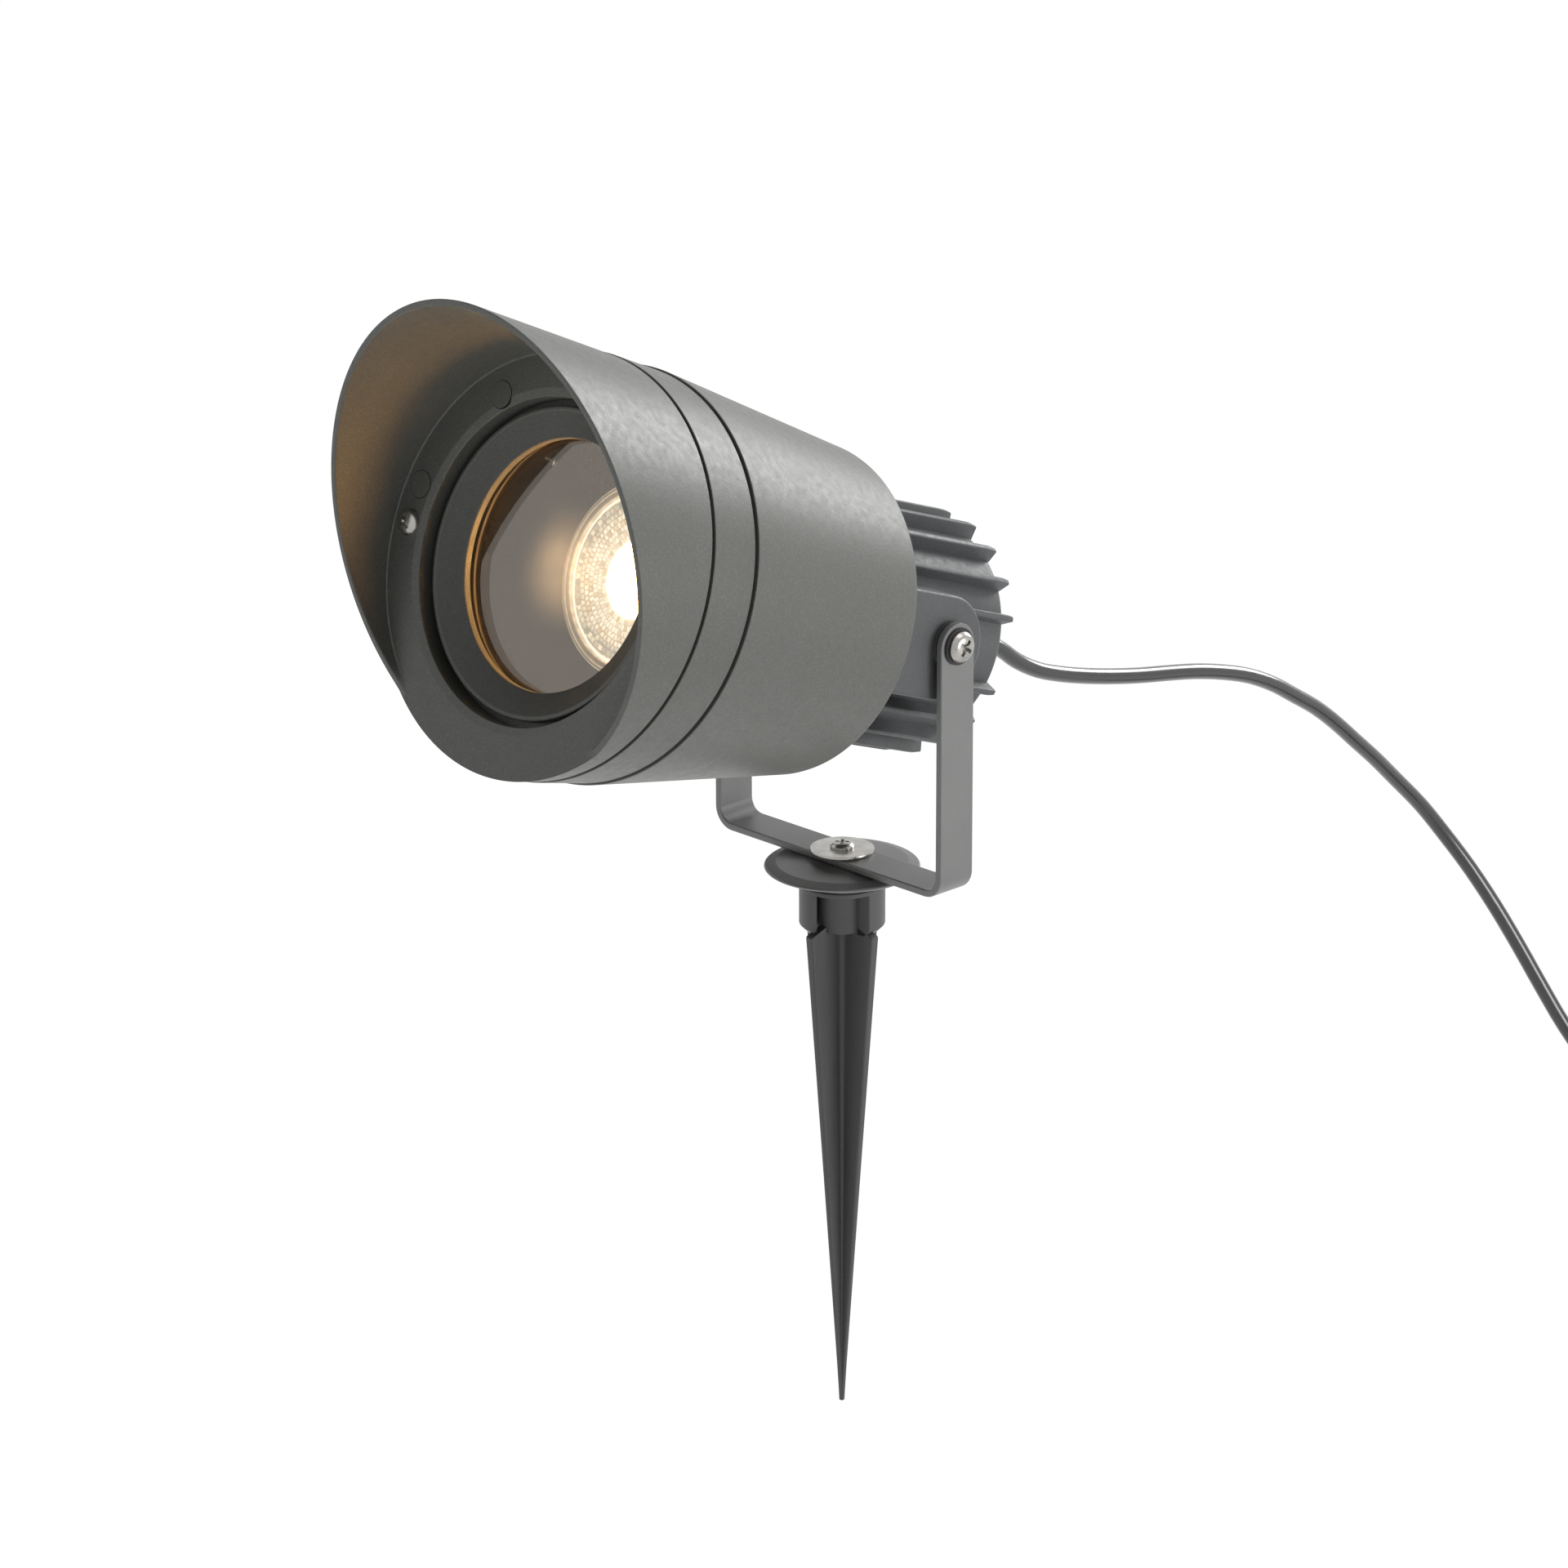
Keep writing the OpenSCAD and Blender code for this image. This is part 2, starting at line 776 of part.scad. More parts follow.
module clamp_screws() {
    color(steel) in_head()
        places(clamp_screw_r, [45, 135, 225, 315])
            translate([0, 0, pocket_back - clamp_t])
                rotate([180, 0, 0])
                    pan_screw(clamp_screw_head_r, clamp_screw_head_h, clamp_screw_thread_r, clamp_screw_len);
}

module lamp_plate() {
    color(paint) in_head() difference() {
        tube(housing_inner(plate_back) - 2 * slip, lamp_neck_r + 2 * slip, plate_back, plate_front);
        places(plate_screw_r, [plate_screw_turn, plate_screw_turn + 120, plate_screw_turn + 240])
            bore(small_thread_r + slip, plate_back - over, plate_front + over);
    }
}

module plate_screws() {
    color(steel) in_head()
        places(plate_screw_r, [plate_screw_turn, plate_screw_turn + 120, plate_screw_turn + 240])
            translate([0, 0, plate_front])
                pan_screw(plate_head_r, small_head_h, small_thread_r, plate_screw_len);
}

module lamp_body() {
    neck_s = plate_back - lens_t;
    color("#d8d4c8") in_head() difference() {
        rotate_extrude()
            polygon([[0, lamp_back], [lamp_base_r, lamp_back], [lamp_waist_r, lamp_back + lamp_len * 0.18],
                [lamp_r * 0.52, lamp_back + lamp_len * 0.3], [lamp_r * 0.82, lamp_back + lamp_len * 0.68],
                [lamp_neck_r, neck_s], [lamp_neck_r, plate_front], [lamp_r, plate_front],
                [lamp_r, lamp_face], [lens_r, lamp_face], [lens_r, lamp_face - lens_sink - lens_t],
                [0, lamp_face - lens_sink - lens_t]]);
        for (side = [-1, 1])
            translate([side * pin_pitch / 2, 0, 0])
                bore(pin_r, lamp_back - over, lamp_back + pin_root);
    }
}

module lamp_lens() {
    color("#ffeccb") in_head()
        bore(lens_r, lamp_face - lens_sink - lens_t, lamp_face - lens_sink);
}

module lamp_pins() {
    color(steel) in_head()
        for (side = [-1, 1])
            translate([side * pin_pitch / 2, 0, 0])
                bore(pin_r, lamp_back - pin_len, lamp_back + pin_root);
}

module lamp_holder() {
    color("#e6e1d6") in_head() difference() {
        translate([-holder_w / 2, -holder_h / 2, holder_back])
            cube([holder_w, holder_h, lamp_back - holder_back]);
        for (side = [-1, 1])
            translate([side * pin_pitch / 2, 0, 0])
                bore(socket_r, holder_back + over, lamp_back + over);
    }
}

module holder_plate() {
    color(steel) in_head() difference() {
        translate([-holder_plate_w / 2, -holder_plate_h / 2, housing_start + wall])
            cube([holder_plate_w, holder_plate_h, holder_plate_t]);
        places(holder_screw_x, [0, 180])
            bore(small_thread_r + slip, housing_start + wall - over, holder_back + over);
    }
}

module holder_screws() {
    color(steel) in_head()
        places(holder_screw_x, [0, 180])
            translate([0, 0, holder_back])
                pan_screw(small_head_r, small_head_h, small_thread_r, holder_screw_len);
}

module terminal_block() {
    block_s = cavity_back + post_len;
    color("#e9e7e0") in_head() difference() {
        translate([-block_w / 2, post_y - block_h / 2, block_s])
            cube([block_w, block_h, block_t]);
        translate([0, post_y, 0])
            bore(small_thread_r + slip, block_s - over, block_s + block_t + over);
    }
}

module terminal_screw() {
    color(steel) in_head()
        translate([0, post_y, cavity_back + post_len + block_t])
            pan_screw(small_head_r, small_head_h, small_thread_r, block_screw_len);
}

// Two insulated wires from the terminal block to the lamp holder
module inner_wires() {
    wire_x = block_w / 2 - 2 * wire_r;
    wire_y = post_y + block_h / 2 + wire_r + slip;
    low = cavity_back + post_len + block_t / 2;
    high = holder_back + over;
    color("#7a4a30") in_head()
        for (side = [-1, 1]) {
            translate([side * wire_x, wire_y, 0])
                bore(wire_r, low, high + wire_r);
            translate([side * wire_x, wire_y, high + wire_r])
                sphere(r = wire_r, $fn = 24);
            translate([side * wire_x, wire_y, high + wire_r])
                rotate([-90, 0, 0])
                    bore(wire_r, 0, -holder_h / 2 - wire_y);
        }
}

module gland_body() {
    flange_s = rear_face - gland_flange_t;
    color(plastic) in_head() difference() {
        union() {
            translate([0, 0, flange_s])
                cylinder(h = gland_flange_t, r = gland_flange_af / 2 / cos(30), $fn = 6);
            bore(gland_r - slip, rear_face, cavity_back + lock_nut_t);
            bore(gland_nut_r - gland_nut_wall, flange_s - gland_neck_len, flange_s);
        }
        bore(cord_hole_r, flange_s - gland_neck_len - over, cavity_back + lock_nut_t + over);
        bore(gland_seal_r, flange_s - gland_neck_len - over, rear_face);
    }
}

module gland_seal() {
    flange_s = rear_face - gland_flange_t;
    color(rubber) in_head()
        tube(gland_seal_r - turn_gap, cord_hole_r, flange_s - gland_neck_len + slip, rear_face - slip);
}

module gland_nut() {
    flange_s = rear_face - gland_flange_t;
    color(plastic) in_head()
        rotate_extrude()
            polygon([[cord_hole_r, relief_s], [gland_nut_r - gland_chamfer, relief_s],
                [gland_nut_r, relief_s + gland_nut_wall], [gland_nut_r, flange_s],
                [gland_nut_r - gland_nut_wall + turn_gap, flange_s],
                [gland_nut_r - gland_nut_wall + turn_gap, relief_s + gland_nut_wall],
                [cord_hole_r, relief_s + gland_nut_wall]]);
}

module gland_lock_nut() {
    color(plastic) in_head()
        translate([0, 0, cavity_back])
            hex_nut(gland_flange_af, lock_nut_t, gland_r);
}

module cord_relief() {
    color(rubber) in_head() difference() {
        translate([0, 0, cord_exit_s])
            cylinder(h = relief_len, r1 = relief_tip_r, r2 = relief_root_r);
        bore(cord_hole_r, cord_exit_s - over, relief_s + over);
    }
}

module cord_inlet() {
    color(rubber) in_head()
        bore(cord_d / 2, cord_exit_s, inlet_end_s);
}

// Where the lead leaves its relief, and the way it points there
exit_y = -axis_drop * sin(rest_tilt) - cord_exit_s * cos(rest_tilt);
exit_z = pivot_z - axis_drop * cos(rest_tilt) + cord_exit_s * sin(rest_tilt);
exit_way = [0, cos(rest_tilt), -sin(rest_tilt)];
exit_lead = 1.35 * cord_d;
lift = tie_gap + tie_t;
lay_z = floor_z + lift + cord_d / 2;

// The lead's own route: out of the head, down, and along the surface to its coil
cord_route = [
    [0, exit_y, exit_z],
    [0, exit_y, exit_z] + exit_lead * exit_way,
    [0, 60, 63.2], [0, 66, 58.7], [0, 74, 54.3], [0, 83, 51], [0, 93, 48.1],
    [0, 104, 45.4], [0, 115.5, 43], [0, 127, 41], [0, 138, 38.9], [0, 149, 36.1],
    [0, 160, 32.5], [0, 170.5, 27.6], [0, 180, 21.9], [0, 189, 16.3], [0, 197.5, 9.9],
    [0, 206.5, 2.3], [0, 215.5, -5.3], [0, 224.5, -13.5], [1, 235.5, -24.2],
    [3.5, 243.5, -34.5], [7.5, 250.5, -45.5], [12.5, 256.5, -57.5], [18, 261.5, -70],
    [23.5, 266, -82.5], [29, 270.5, -94.5], [35, 275.5, -105.5], [42, 281.5, -115.5],
    [50, 288.5, -123.5],
    [58.5, 296, -130], [67, 304.5, -133], [75.5, 313, lay_z], [84, 321.5, lay_z]];
cord_end = cord_route[len(cord_route) - 1];
cord_end_way = [sqrt(0.5), sqrt(0.5), 0];

// The coil: a straight lead-in, a flat spiral in, a climb, and a spiral out on top
loop_steps = 24;
spiral_turns = 2.9375;
climb_turns = 0.5;
all_turns = 2 * spiral_turns + climb_turns;
coil_start_angle = 135;
tail_len = 63;
coil_start = cord_end + cord_d * cord_end_way;
coil_centre = coil_start - coil_r * [cos(coil_start_angle), sin(coil_start_angle), 0];
climb_mid = spiral_turns + climb_turns / 2;

function coil_radius(t) = coil_r - coil_pitch * (t < climb_mid ? t : all_turns - t);
function coil_rise(t) = coil_pitch * min(1, max(0, (t - spiral_turns) / climb_turns));
function coil_point(t) = coil_centre + [
    coil_radius(t) * cos(coil_start_angle - 360 * t),
    coil_radius(t) * sin(coil_start_angle - 360 * t),
    coil_rise(t)];
coil_end = coil_point(all_turns);
tail_angle = coil_start_angle - 360 * all_turns;
tail_way = [sin(tail_angle), -cos(tail_angle), 0];
coil_route = concat([cord_end], [for (k = [0 : all_turns * loop_steps]) coil_point(k / loop_steps)],
    [coil_end + cord_d * tail_way, coil_end + tail_len * tail_way]);

function unit(v) = v / norm(v);
function way_at(p, i) = unit(p[min(i + 1, len(p) - 1)] - p[max(i - 1, 0)]);

// A closed tube of triangles along points: side_ref is never along the route
module swept_tube(p, r, sides, side_ref) {
    rings = [for (i = [0 : len(p) - 1])
        let (t = way_at(p, i), u = unit(cross(side_ref, t)), v = cross(t, u))
            for (j = [0 : sides - 1])
                p[i] + r * (cos(360 * j / sides) * u + sin(360 * j / sides) * v)];
    last = (len(p) - 1) * sides;
    skin = [for (i = [0 : len(p) - 2], j = [0 : sides - 1])
        let (a = i * sides + j, b = i * sides + (j + 1) % sides, c = b + sides, d = a + sides)
            each [[a, c, b], [a, d, c]]];
    caps = [for (j = [1 : sides - 2]) each [[0, j, j + 1], [last, last + j + 1, last + j]]];
    polyhedron(points = rings, faces = concat(skin, caps), convexity = 10);
}

module cord() {
    color(rubber)
        swept_tube(cord_route, cord_d / 2, 8, [1, 0, 0]);
}

module cord_coil() {
    color(rubber)
        swept_tube(coil_route, cord_d / 2, 6, [0, 0, 1]);
}

// Least gap of the coil to itself, over all pairs half a turn or more apart
coil_gap = min([for (i = [0 : len(coil_route) - 1], j = [0 : len(coil_route) - 1])
    if (j > i + loop_steps / 2) norm(coil_route[i] - coil_route[j])]) - cord_d;
function route_len(p) = norm(p[1] - p[0]) + (len(p) > 2 ? route_len([for (i = [1 : len(p) - 1]) p[i]]) : 0);
echo(coil_gap = coil_gap, cord_len = route_len(cord_route) + route_len(coil_route));

// A band round all the turns, opposite the climb, where both layers lie alike
module coil_tie() {
    tie_turns = 0.6875;
    tie_angle = coil_start_angle - 360 * tie_turns;
    flat = cos(180 / loop_steps);
    high = coil_radius(tie_turns) * flat + cord_d / 2 + tie_gap;
    low = coil_radius(tie_turns + 2) * flat - cord_d / 2 - tie_gap;
    tall = coil_pitch + cord_d + 2 * tie_gap;
    color(plastic)
        translate(coil_centre + [0, 0, -cord_d / 2 - tie_gap])
            rotate([90, 0, tie_angle])
                linear_extrude(height = tie_w, center = true)
                    difference() {
                        translate([low - tie_t, -tie_t])
                            rounded(high - low + 2 * tie_t, tall + 2 * tie_t, tie_r + tie_t);
                        translate([low, 0])
                            rounded(high - low, tall, tie_r);
                    }
}

// The plug's parts stand along Z here, from the end of the lead
module at_plug() {
    end = coil_end + tail_len * tail_way;
    translate([end[0], end[1], end[2]])
        rotate([0, 0, tail_angle])
            rotate([90, 0, 0])
                children();
}

module plug_relief() {
    color(rubber) at_plug()
        cylinder(h = plug_relief_len, r1 = plug_relief_r, r2 = plug_body_r - plug_nut_wall);
}

module plug_body() {
    color(rubber) at_plug()
        bore(plug_body_r, plug_relief_len, plug_relief_len + plug_body_len);
}

module plug_insert() {
    base = plug_relief_len + plug_body_len;
    color(plastic) at_plug() difference() {
        bore(plug_insert_r, base, base + plug_insert_len);
        for (side = [-1, 1])
            translate([side * plug_pin_pitch / 2, 0, 0])
                bore(plug_pin_root_r, base + over, base + plug_insert_len + over);
    }
}

module plug_pins() {
    root = plug_relief_len + plug_body_len + over;
    front = plug_relief_len + plug_body_len + plug_insert_len;
    color(steel) at_plug()
        for (side = [-1, 1])
            translate([side * plug_pin_pitch / 2, 0, 0]) {
                bore(plug_pin_root_r, root, front);
                bore(plug_pin_r, front, front + plug_pin_len);
            }
}

module plug_nut() {
    base = plug_relief_len + plug_body_len;
    color(plastic) at_plug() difference() {
        bore(plug_r, base, base + plug_nut_len);
        bore(plug_insert_r + slip, base - over, base + plug_nut_wall);
        bore(plug_r - plug_nut_wall, base + plug_nut_wall, base + plug_nut_len + over);
    }
}

spike();
rosette();
base_nut();
base_screw();
base_washer();
bracket();
friction_washers();
head_washers();
pivot_screws();
rear_body();
rear_gasket();
rear_screws();
housing();
ring_seal();
front_ring();
cowl();
cowl_screws();
glass();
glass_gasket();
glass_clamp();
clamp_screws();
lamp_plate();
plate_screws();
lamp_body();
lamp_lens();
lamp_pins();
lamp_holder();
holder_plate();
holder_screws();
terminal_block();
terminal_screw();
inner_wires();
gland_body();
gland_seal();
gland_nut();
gland_lock_nut();
cord_relief();
cord_inlet();
cord();
cord_coil();
coil_tie();
plug_relief();
plug_body();
plug_insert();
plug_pins();
plug_nut();
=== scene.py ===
"""Looks of the garden spike spotlight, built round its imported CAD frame.

Sizes are in millimetres up to the last step of each piece, which brings it to metres.
A piece of the head is made along Z, the beam, and then laid on the tilted beam axis.
"""
import json
import math

import bmesh
import bpy
from mathutils import Matrix, Vector


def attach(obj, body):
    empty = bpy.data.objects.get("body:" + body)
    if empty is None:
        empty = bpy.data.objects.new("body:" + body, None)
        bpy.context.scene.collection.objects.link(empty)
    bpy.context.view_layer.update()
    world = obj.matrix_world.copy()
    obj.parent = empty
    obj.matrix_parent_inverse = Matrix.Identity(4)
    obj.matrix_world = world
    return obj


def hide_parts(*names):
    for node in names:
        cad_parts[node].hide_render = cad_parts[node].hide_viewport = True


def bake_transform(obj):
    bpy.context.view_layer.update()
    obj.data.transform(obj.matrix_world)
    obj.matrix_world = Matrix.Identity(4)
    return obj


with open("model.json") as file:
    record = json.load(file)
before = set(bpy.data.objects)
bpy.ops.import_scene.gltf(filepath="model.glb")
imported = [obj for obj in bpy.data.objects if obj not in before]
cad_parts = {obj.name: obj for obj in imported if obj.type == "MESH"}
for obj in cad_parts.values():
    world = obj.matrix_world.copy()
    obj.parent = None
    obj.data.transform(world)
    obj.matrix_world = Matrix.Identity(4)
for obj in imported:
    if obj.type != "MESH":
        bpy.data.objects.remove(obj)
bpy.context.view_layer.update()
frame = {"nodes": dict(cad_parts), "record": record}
nodes = frame["nodes"]

MM = 0.001
FULL = 2 * math.pi

# The camera: its turns, and its way right, up and back from a point on the spike's axis
AZIMUTH, ELEVATION, ROLL = (math.radians(a) for a in (45.52, 19.26, -0.15))
CAMERA_WAY = (-15.29, 16.9, 1717.7)
LOOK_AT_Z = 22.1

# Levels above the soil
COLLAR_TOP = 13.4
ROSETTE_TOP = 19.4
STRAP_TOP = 21.4
PIVOT_Z = 87.6
FLOOR_Z = -136.6

# The head along its beam, from the tilt axis
TILT = math.radians(19.8)
AXIS_DROP = 1.5
REAR_FACE = -31.2
REAR_FRONT = 17.9
HOUSING_START = 18.9
HOUSING_FRONT = 90.4
RING_FRONT = 107.2
FACE_S = 113.5
RECESS_TOP = 110.3
WEB_FRONT = 106.2
GLASS_SEAT = 104.2
GLASS_FRONT = 103.4
GLASS_BACK = 99.4
LAMP_FACE = 76.4
LAMP_BACK = 36
PLATE_BACK = 72.4
SEAM_W = 0.85
SEAM_D = 1.6

# Radii of the head
HOUSING_R_BACK = 43.2
HOUSING_R_FRONT = 53.2
RING_R_BACK = 52.7
RING_R_FRONT = 54.2
COWL_R_BACK = 54.0
COWL_R_FACE = 54.7
FACE_R_IN = 41.2
OPENING_R = 31.8
GLASS_R = 35.8
MARK_R = 3.5
MARK_LOW_R = 47.2
MARK_HIGH_R = 45.2
WALL = 3.0
VISOR_REACH = 43.9
VISOR_CUT = math.radians(23.7)
VISOR_SLOPE = 0.095
VISOR_WALL = 2.4
RIM_WALL = 1.6
REAR_R = 28.8
FIN_R = 32.6
CUP_R_IN = 24.8
SEAT_R = 49.8
SCREW_RING = 46.8
REAR_SCREW_RING = 20.9
STRAP_HALF = 41.8

# The colour sockets of a mix node, and the range that most of a noise keeps to
MIX_A, MIX_B, MIX_RESULT = 6, 7, 2
NOISE_LOW, NOISE_HIGH = 0.3, 0.7

# How close points are welded, and the share of an edge that one rounded corner may take
WELD = 1e-4
CORNER_SHARE = 0.45

# How many points a grown bar has, and how close to its ends the easing keeps
BAR_POINTS = 21
BAR_SQUARENESS = 24.0

# The prisms of the lamp's lens, with half their size as a share of their step, and how bright its middle is
PRISM_RINGS = 9
PRISM_FIRST = 8.0
PRISM_RING_STEP = 1.5
PRISMS_PER_RING = 76
PRISM_DEEP = 0.48
PRISM_WIDE = 0.46
LAMP_POWER = 105.0

# Where the head's pieces are laid: on its beam
HEAD = (Matrix.Translation((0, 0, PIVOT_Z)) @ Matrix.Rotation(math.pi / 2 - TILT, 4, "X")
        @ Matrix.Translation((0, -AXIS_DROP, 0)))


def added(name, data):
    """A new object of the scene."""
    obj = bpy.data.objects.new(name, data)
    bpy.context.scene.collection.objects.link(obj)
    return obj


def aim_camera():
    """The photograph's view: a long lens, to the right of the beam and a little above."""
    data = bpy.data.cameras.new("camera")
    data.sensor_width = 36
    data.lens = 150
    data.clip_end = 20
    camera = added("camera", data)
    turn = (Matrix.Rotation(AZIMUTH, 4, "Z") @ Matrix.Rotation(math.pi / 2 - ELEVATION, 4, "X")
            @ Matrix.Rotation(ROLL, 4, "Z"))
    camera.matrix_world = (Matrix.Translation((0, 0, LOOK_AT_Z * MM)) @ turn
                           @ Matrix.Translation(Vector(CAMERA_WAY) * MM))
    bpy.context.scene.camera = camera


aim_camera()


class Wiring:
    """Adds nodes to a tree. A value is plain or another node's output; a colour is three numbers."""

    def __init__(self, tree):
        self.tree = tree

    def add(self, kind, inputs=None, **settings):
        node = self.tree.nodes.new(kind)
        for key, value in settings.items():
            setattr(node, key, value)
        for key, value in (inputs or {}).items():
            self.feed(node.inputs[key], value)
        return node

    def out(self, kind, inputs=None, **settings):
        """The first output of a new node."""
        return self.add(kind, inputs, **settings).outputs[0]

    def feed(self, socket, value):
        if isinstance(value, bpy.types.NodeSocket):
            self.tree.links.new(value, socket)
        else:
            socket.default_value = (*value, 1.0) if socket.type == "RGBA" else value

    def math(self, operation, first, second=0.0):
        return self.out("ShaderNodeMath", {0: first, 1: second}, operation=operation)

    def plus(self, first, second):
        return self.math("ADD", first, second)

    def minus(self, first, second):
        return self.math("SUBTRACT", first, second)

    def times(self, first, second):
        return self.math("MULTIPLY", first, second)

    def over(self, first, second):
        return self.math("DIVIDE", first, second)

    def point(self, x=0.0, y=0.0, z=0.0):
        return self.out("ShaderNodeCombineXYZ", {0: x, 1: y, 2: z})

    def polar(self, radius, angle, level=0.0):
        """The point at a radius and an angle round Z."""
        return self.point(self.times(radius, self.math("COSINE", angle)),
                          self.times(radius, self.math("SINE", angle)), level)

    def split(self, vector):
        return tuple(self.add("ShaderNodeSeparateXYZ", {0: vector}).outputs)

    def distance(self, x, y):
        return self.math("SQRT", self.plus(self.times(x, x), self.times(y, y)))

    def noise(self, at, scale, detail=2.0, roughness=0.5):
        return self.out("ShaderNodeTexNoise", {"Vector": at, "Scale": scale, "Detail": detail, "Roughness": roughness})

    def spread(self, value, low, high, start=0.0, end=1.0, how="LINEAR"):
        """The value, stretched from start..end to low..high."""
        return self.out("ShaderNodeMapRange", {"Value": value, "From Min": start, "From Max": end, "To Min": low,
                                               "To Max": high}, interpolation_type=how)

    def blend(self, share, first, second):
        mixed = self.add("ShaderNodeMix", {0: share, MIX_A: first, MIX_B: second}, data_type="RGBA")
        return mixed.outputs[MIX_RESULT]

    def between(self, pattern, low, high):
        """The range that most of a noise keeps to, stretched to low..high."""
        return self.spread(pattern, low, high, NOISE_LOW, NOISE_HIGH)

    def tone(self, pattern, first, second, share=1, start=NOISE_LOW, end=NOISE_HIGH):
        """The first colour, and a share of the second where the pattern has risen from start to end."""
        return self.blend(self.spread(pattern, 0, share, start, end), first, second)

    def seen(self):
        """1 for the rays by which the camera sees, also in a mirror and through glass."""
        path = self.add("ShaderNodeLightPath").outputs
        return self.math("MAXIMUM", path["Is Camera Ray"],
                         self.math("MAXIMUM", path["Is Glossy Ray"], path["Is Transmission Ray"]))


class Finish(Wiring):
    """A material with one Principled shader, whose sockets take patterns."""

    def __init__(self, name):
        self.material = bpy.data.materials.new(name)
        self.material.use_nodes = True
        super().__init__(self.material.node_tree)
        self.shader = self.tree.nodes["Principled BSDF"]
        self.at = self.add("ShaderNodeTexCoord").outputs["Object"]

    def set(self, **values):
        for key, value in values.items():
            self.feed(self.shader.inputs[key.replace("_", " ")], value)

    def mix(self, share, second):
        """Gives a share of the surface to a second shader."""
        mixed = self.out("ShaderNodeMixShader", {0: share, 1: self.shader.outputs[0], 2: second})
        self.tree.links.new(mixed, self.tree.nodes["Material Output"].inputs[0])

    def stretched(self, at, scale):
        return self.out("ShaderNodeMapping", {"Vector": at, "Scale": scale})

    def around_beam(self, s):
        """Coordinates on the lamp's axis at a station: the point, its radius in mm and its angle."""
        centre = HEAD @ Vector((0, 0, s)) * MM
        local = self.out("ShaderNodeMapping", {"Vector": self.at, "Location": centre,
                                               "Rotation": (math.pi / 2 - TILT, 0, 0)}, vector_type="TEXTURE")
        x, y, _ = self.split(local)
        return local, self.times(self.distance(x, y), 1 / MM), self.math("ARCTAN2", y, x)

    def bump(self, height, strength, distance, under=None):
        inputs = {"Height": height, "Strength": strength, "Distance": distance}
        if under is not None:
            inputs["Normal"] = under
        return self.out("ShaderNodeBump", inputs)


def graphite_paint(name="graphite_powder_coat", shade=0.0):
    """Fine textured powder coat, with a soft mottle and a grain of 0.4 mm; a shade above 0 mixes it towards black as
    painted shade.
    """
    f = Finish(name)
    broad = f.noise(f.at, 26, 3)
    mottle = f.noise(f.at, 420, 3, 0.6)
    grain = f.noise(f.at, 2400, 2, 0.7)
    peel = f.noise(f.at, 1100, 2)
    body = f.tone(broad, (0.124, 0.128, 0.116), (0.134, 0.138, 0.126))
    body = f.tone(mottle, body, (0.104, 0.108, 0.096), 0.22, 0.35, 0.75)
    body = f.tone(grain, body, (0.25, 0.256, 0.235), 0.5, 0.5, 0.7)
    # painted shade: the coat mixed towards black by the shade
    if shade:
        body = f.blend(shade, body, (0, 0, 0))
    fine = f.bump(grain, 0.28, 0.00008)
    f.set(Base_Color=body, Metallic=0.12, Roughness=f.between(mottle, 0.4, 0.5),
          Normal=f.bump(peel, 0.18, 0.00015, fine))
    return f.material


def casting_painted_shade():
    """The same coat on the rough-cast rear body, a little bluer and coarser, and darker: the darker tone is painted
    shade.
    """
    f = Finish("graphite_coat_on_casting")
    broad = f.noise(f.at, 40, 3)
    mottle = f.noise(f.at, 520, 3, 0.6)
    grain = f.noise(f.at, 2000, 2, 0.7)
    # darker tones than the main coat: painted shade
    body = f.tone(broad, (0.09, 0.094, 0.096), (0.108, 0.113, 0.116))
    body = f.tone(grain, body, (0.17, 0.175, 0.18), 0.4, 0.5, 0.72)
    f.set(Base_Color=body, Roughness=f.between(mottle, 0.42, 0.56),
          Normal=f.bump(mottle, 0.3, 0.00022, f.bump(grain, 0.3, 0.0001)))
    return f.material


def strap_and_rosette_painted_light():
    """A smoother copy of the coat for the bent strap and the rosette, made lighter: the lighter tone is painted light.
    """
    f = Finish("graphite_coat_on_strap")
    broad = f.noise(f.at, 60, 3)
    grain = f.noise(f.at, 2200, 2, 0.7)
    # lighter tones than the main coat: painted light
    body = f.tone(broad, (0.225, 0.228, 0.224), (0.25, 0.253, 0.248))
    body = f.tone(grain, body, (0.3, 0.3, 0.295), 0.4, 0.5, 0.72)
    f.set(Base_Color=body, Metallic=0.12, Roughness=f.between(broad, 0.38, 0.46),
          Normal=f.bump(grain, 0.28, 0.00009))
    return f.material


def black_plastic():
    """Moulded glass-filled plastic: a silky spark-eroded grain and faint flow marks."""
    f = Finish("black_moulded_plastic")
    flow = f.noise(f.stretched(f.at, (1, 1, 0.12)), 130, 4)
    grain = f.noise(f.at, 1900, 3, 0.7)
    body = f.tone(flow, (0.064, 0.063, 0.065), (0.092, 0.09, 0.093))
    body = f.tone(grain, body, (0.115, 0.112, 0.117), 0.5, 0.5, 0.75)
    f.set(Base_Color=body, Roughness=f.between(flow, 0.4, 0.54), Normal=f.bump(grain, 0.32, 0.0001))
    return f.material


def bright_steel():
    """Stainless screws and washers, tumbled, with fine handling marks."""
    f = Finish("bright_stainless_steel")
    marks = f.noise(f.stretched(f.at, (1, 7, 1)), 900, 4, 0.7)
    cloud = f.noise(f.at, 300, 2)
    body = f.tone(cloud, (0.33, 0.32, 0.302), (0.46, 0.443, 0.418))
    f.set(Base_Color=body, Metallic=1.0, Roughness=f.between(marks, 0.16, 0.34),
          Normal=f.bump(marks, 0.12, 0.00006))
    return f.material


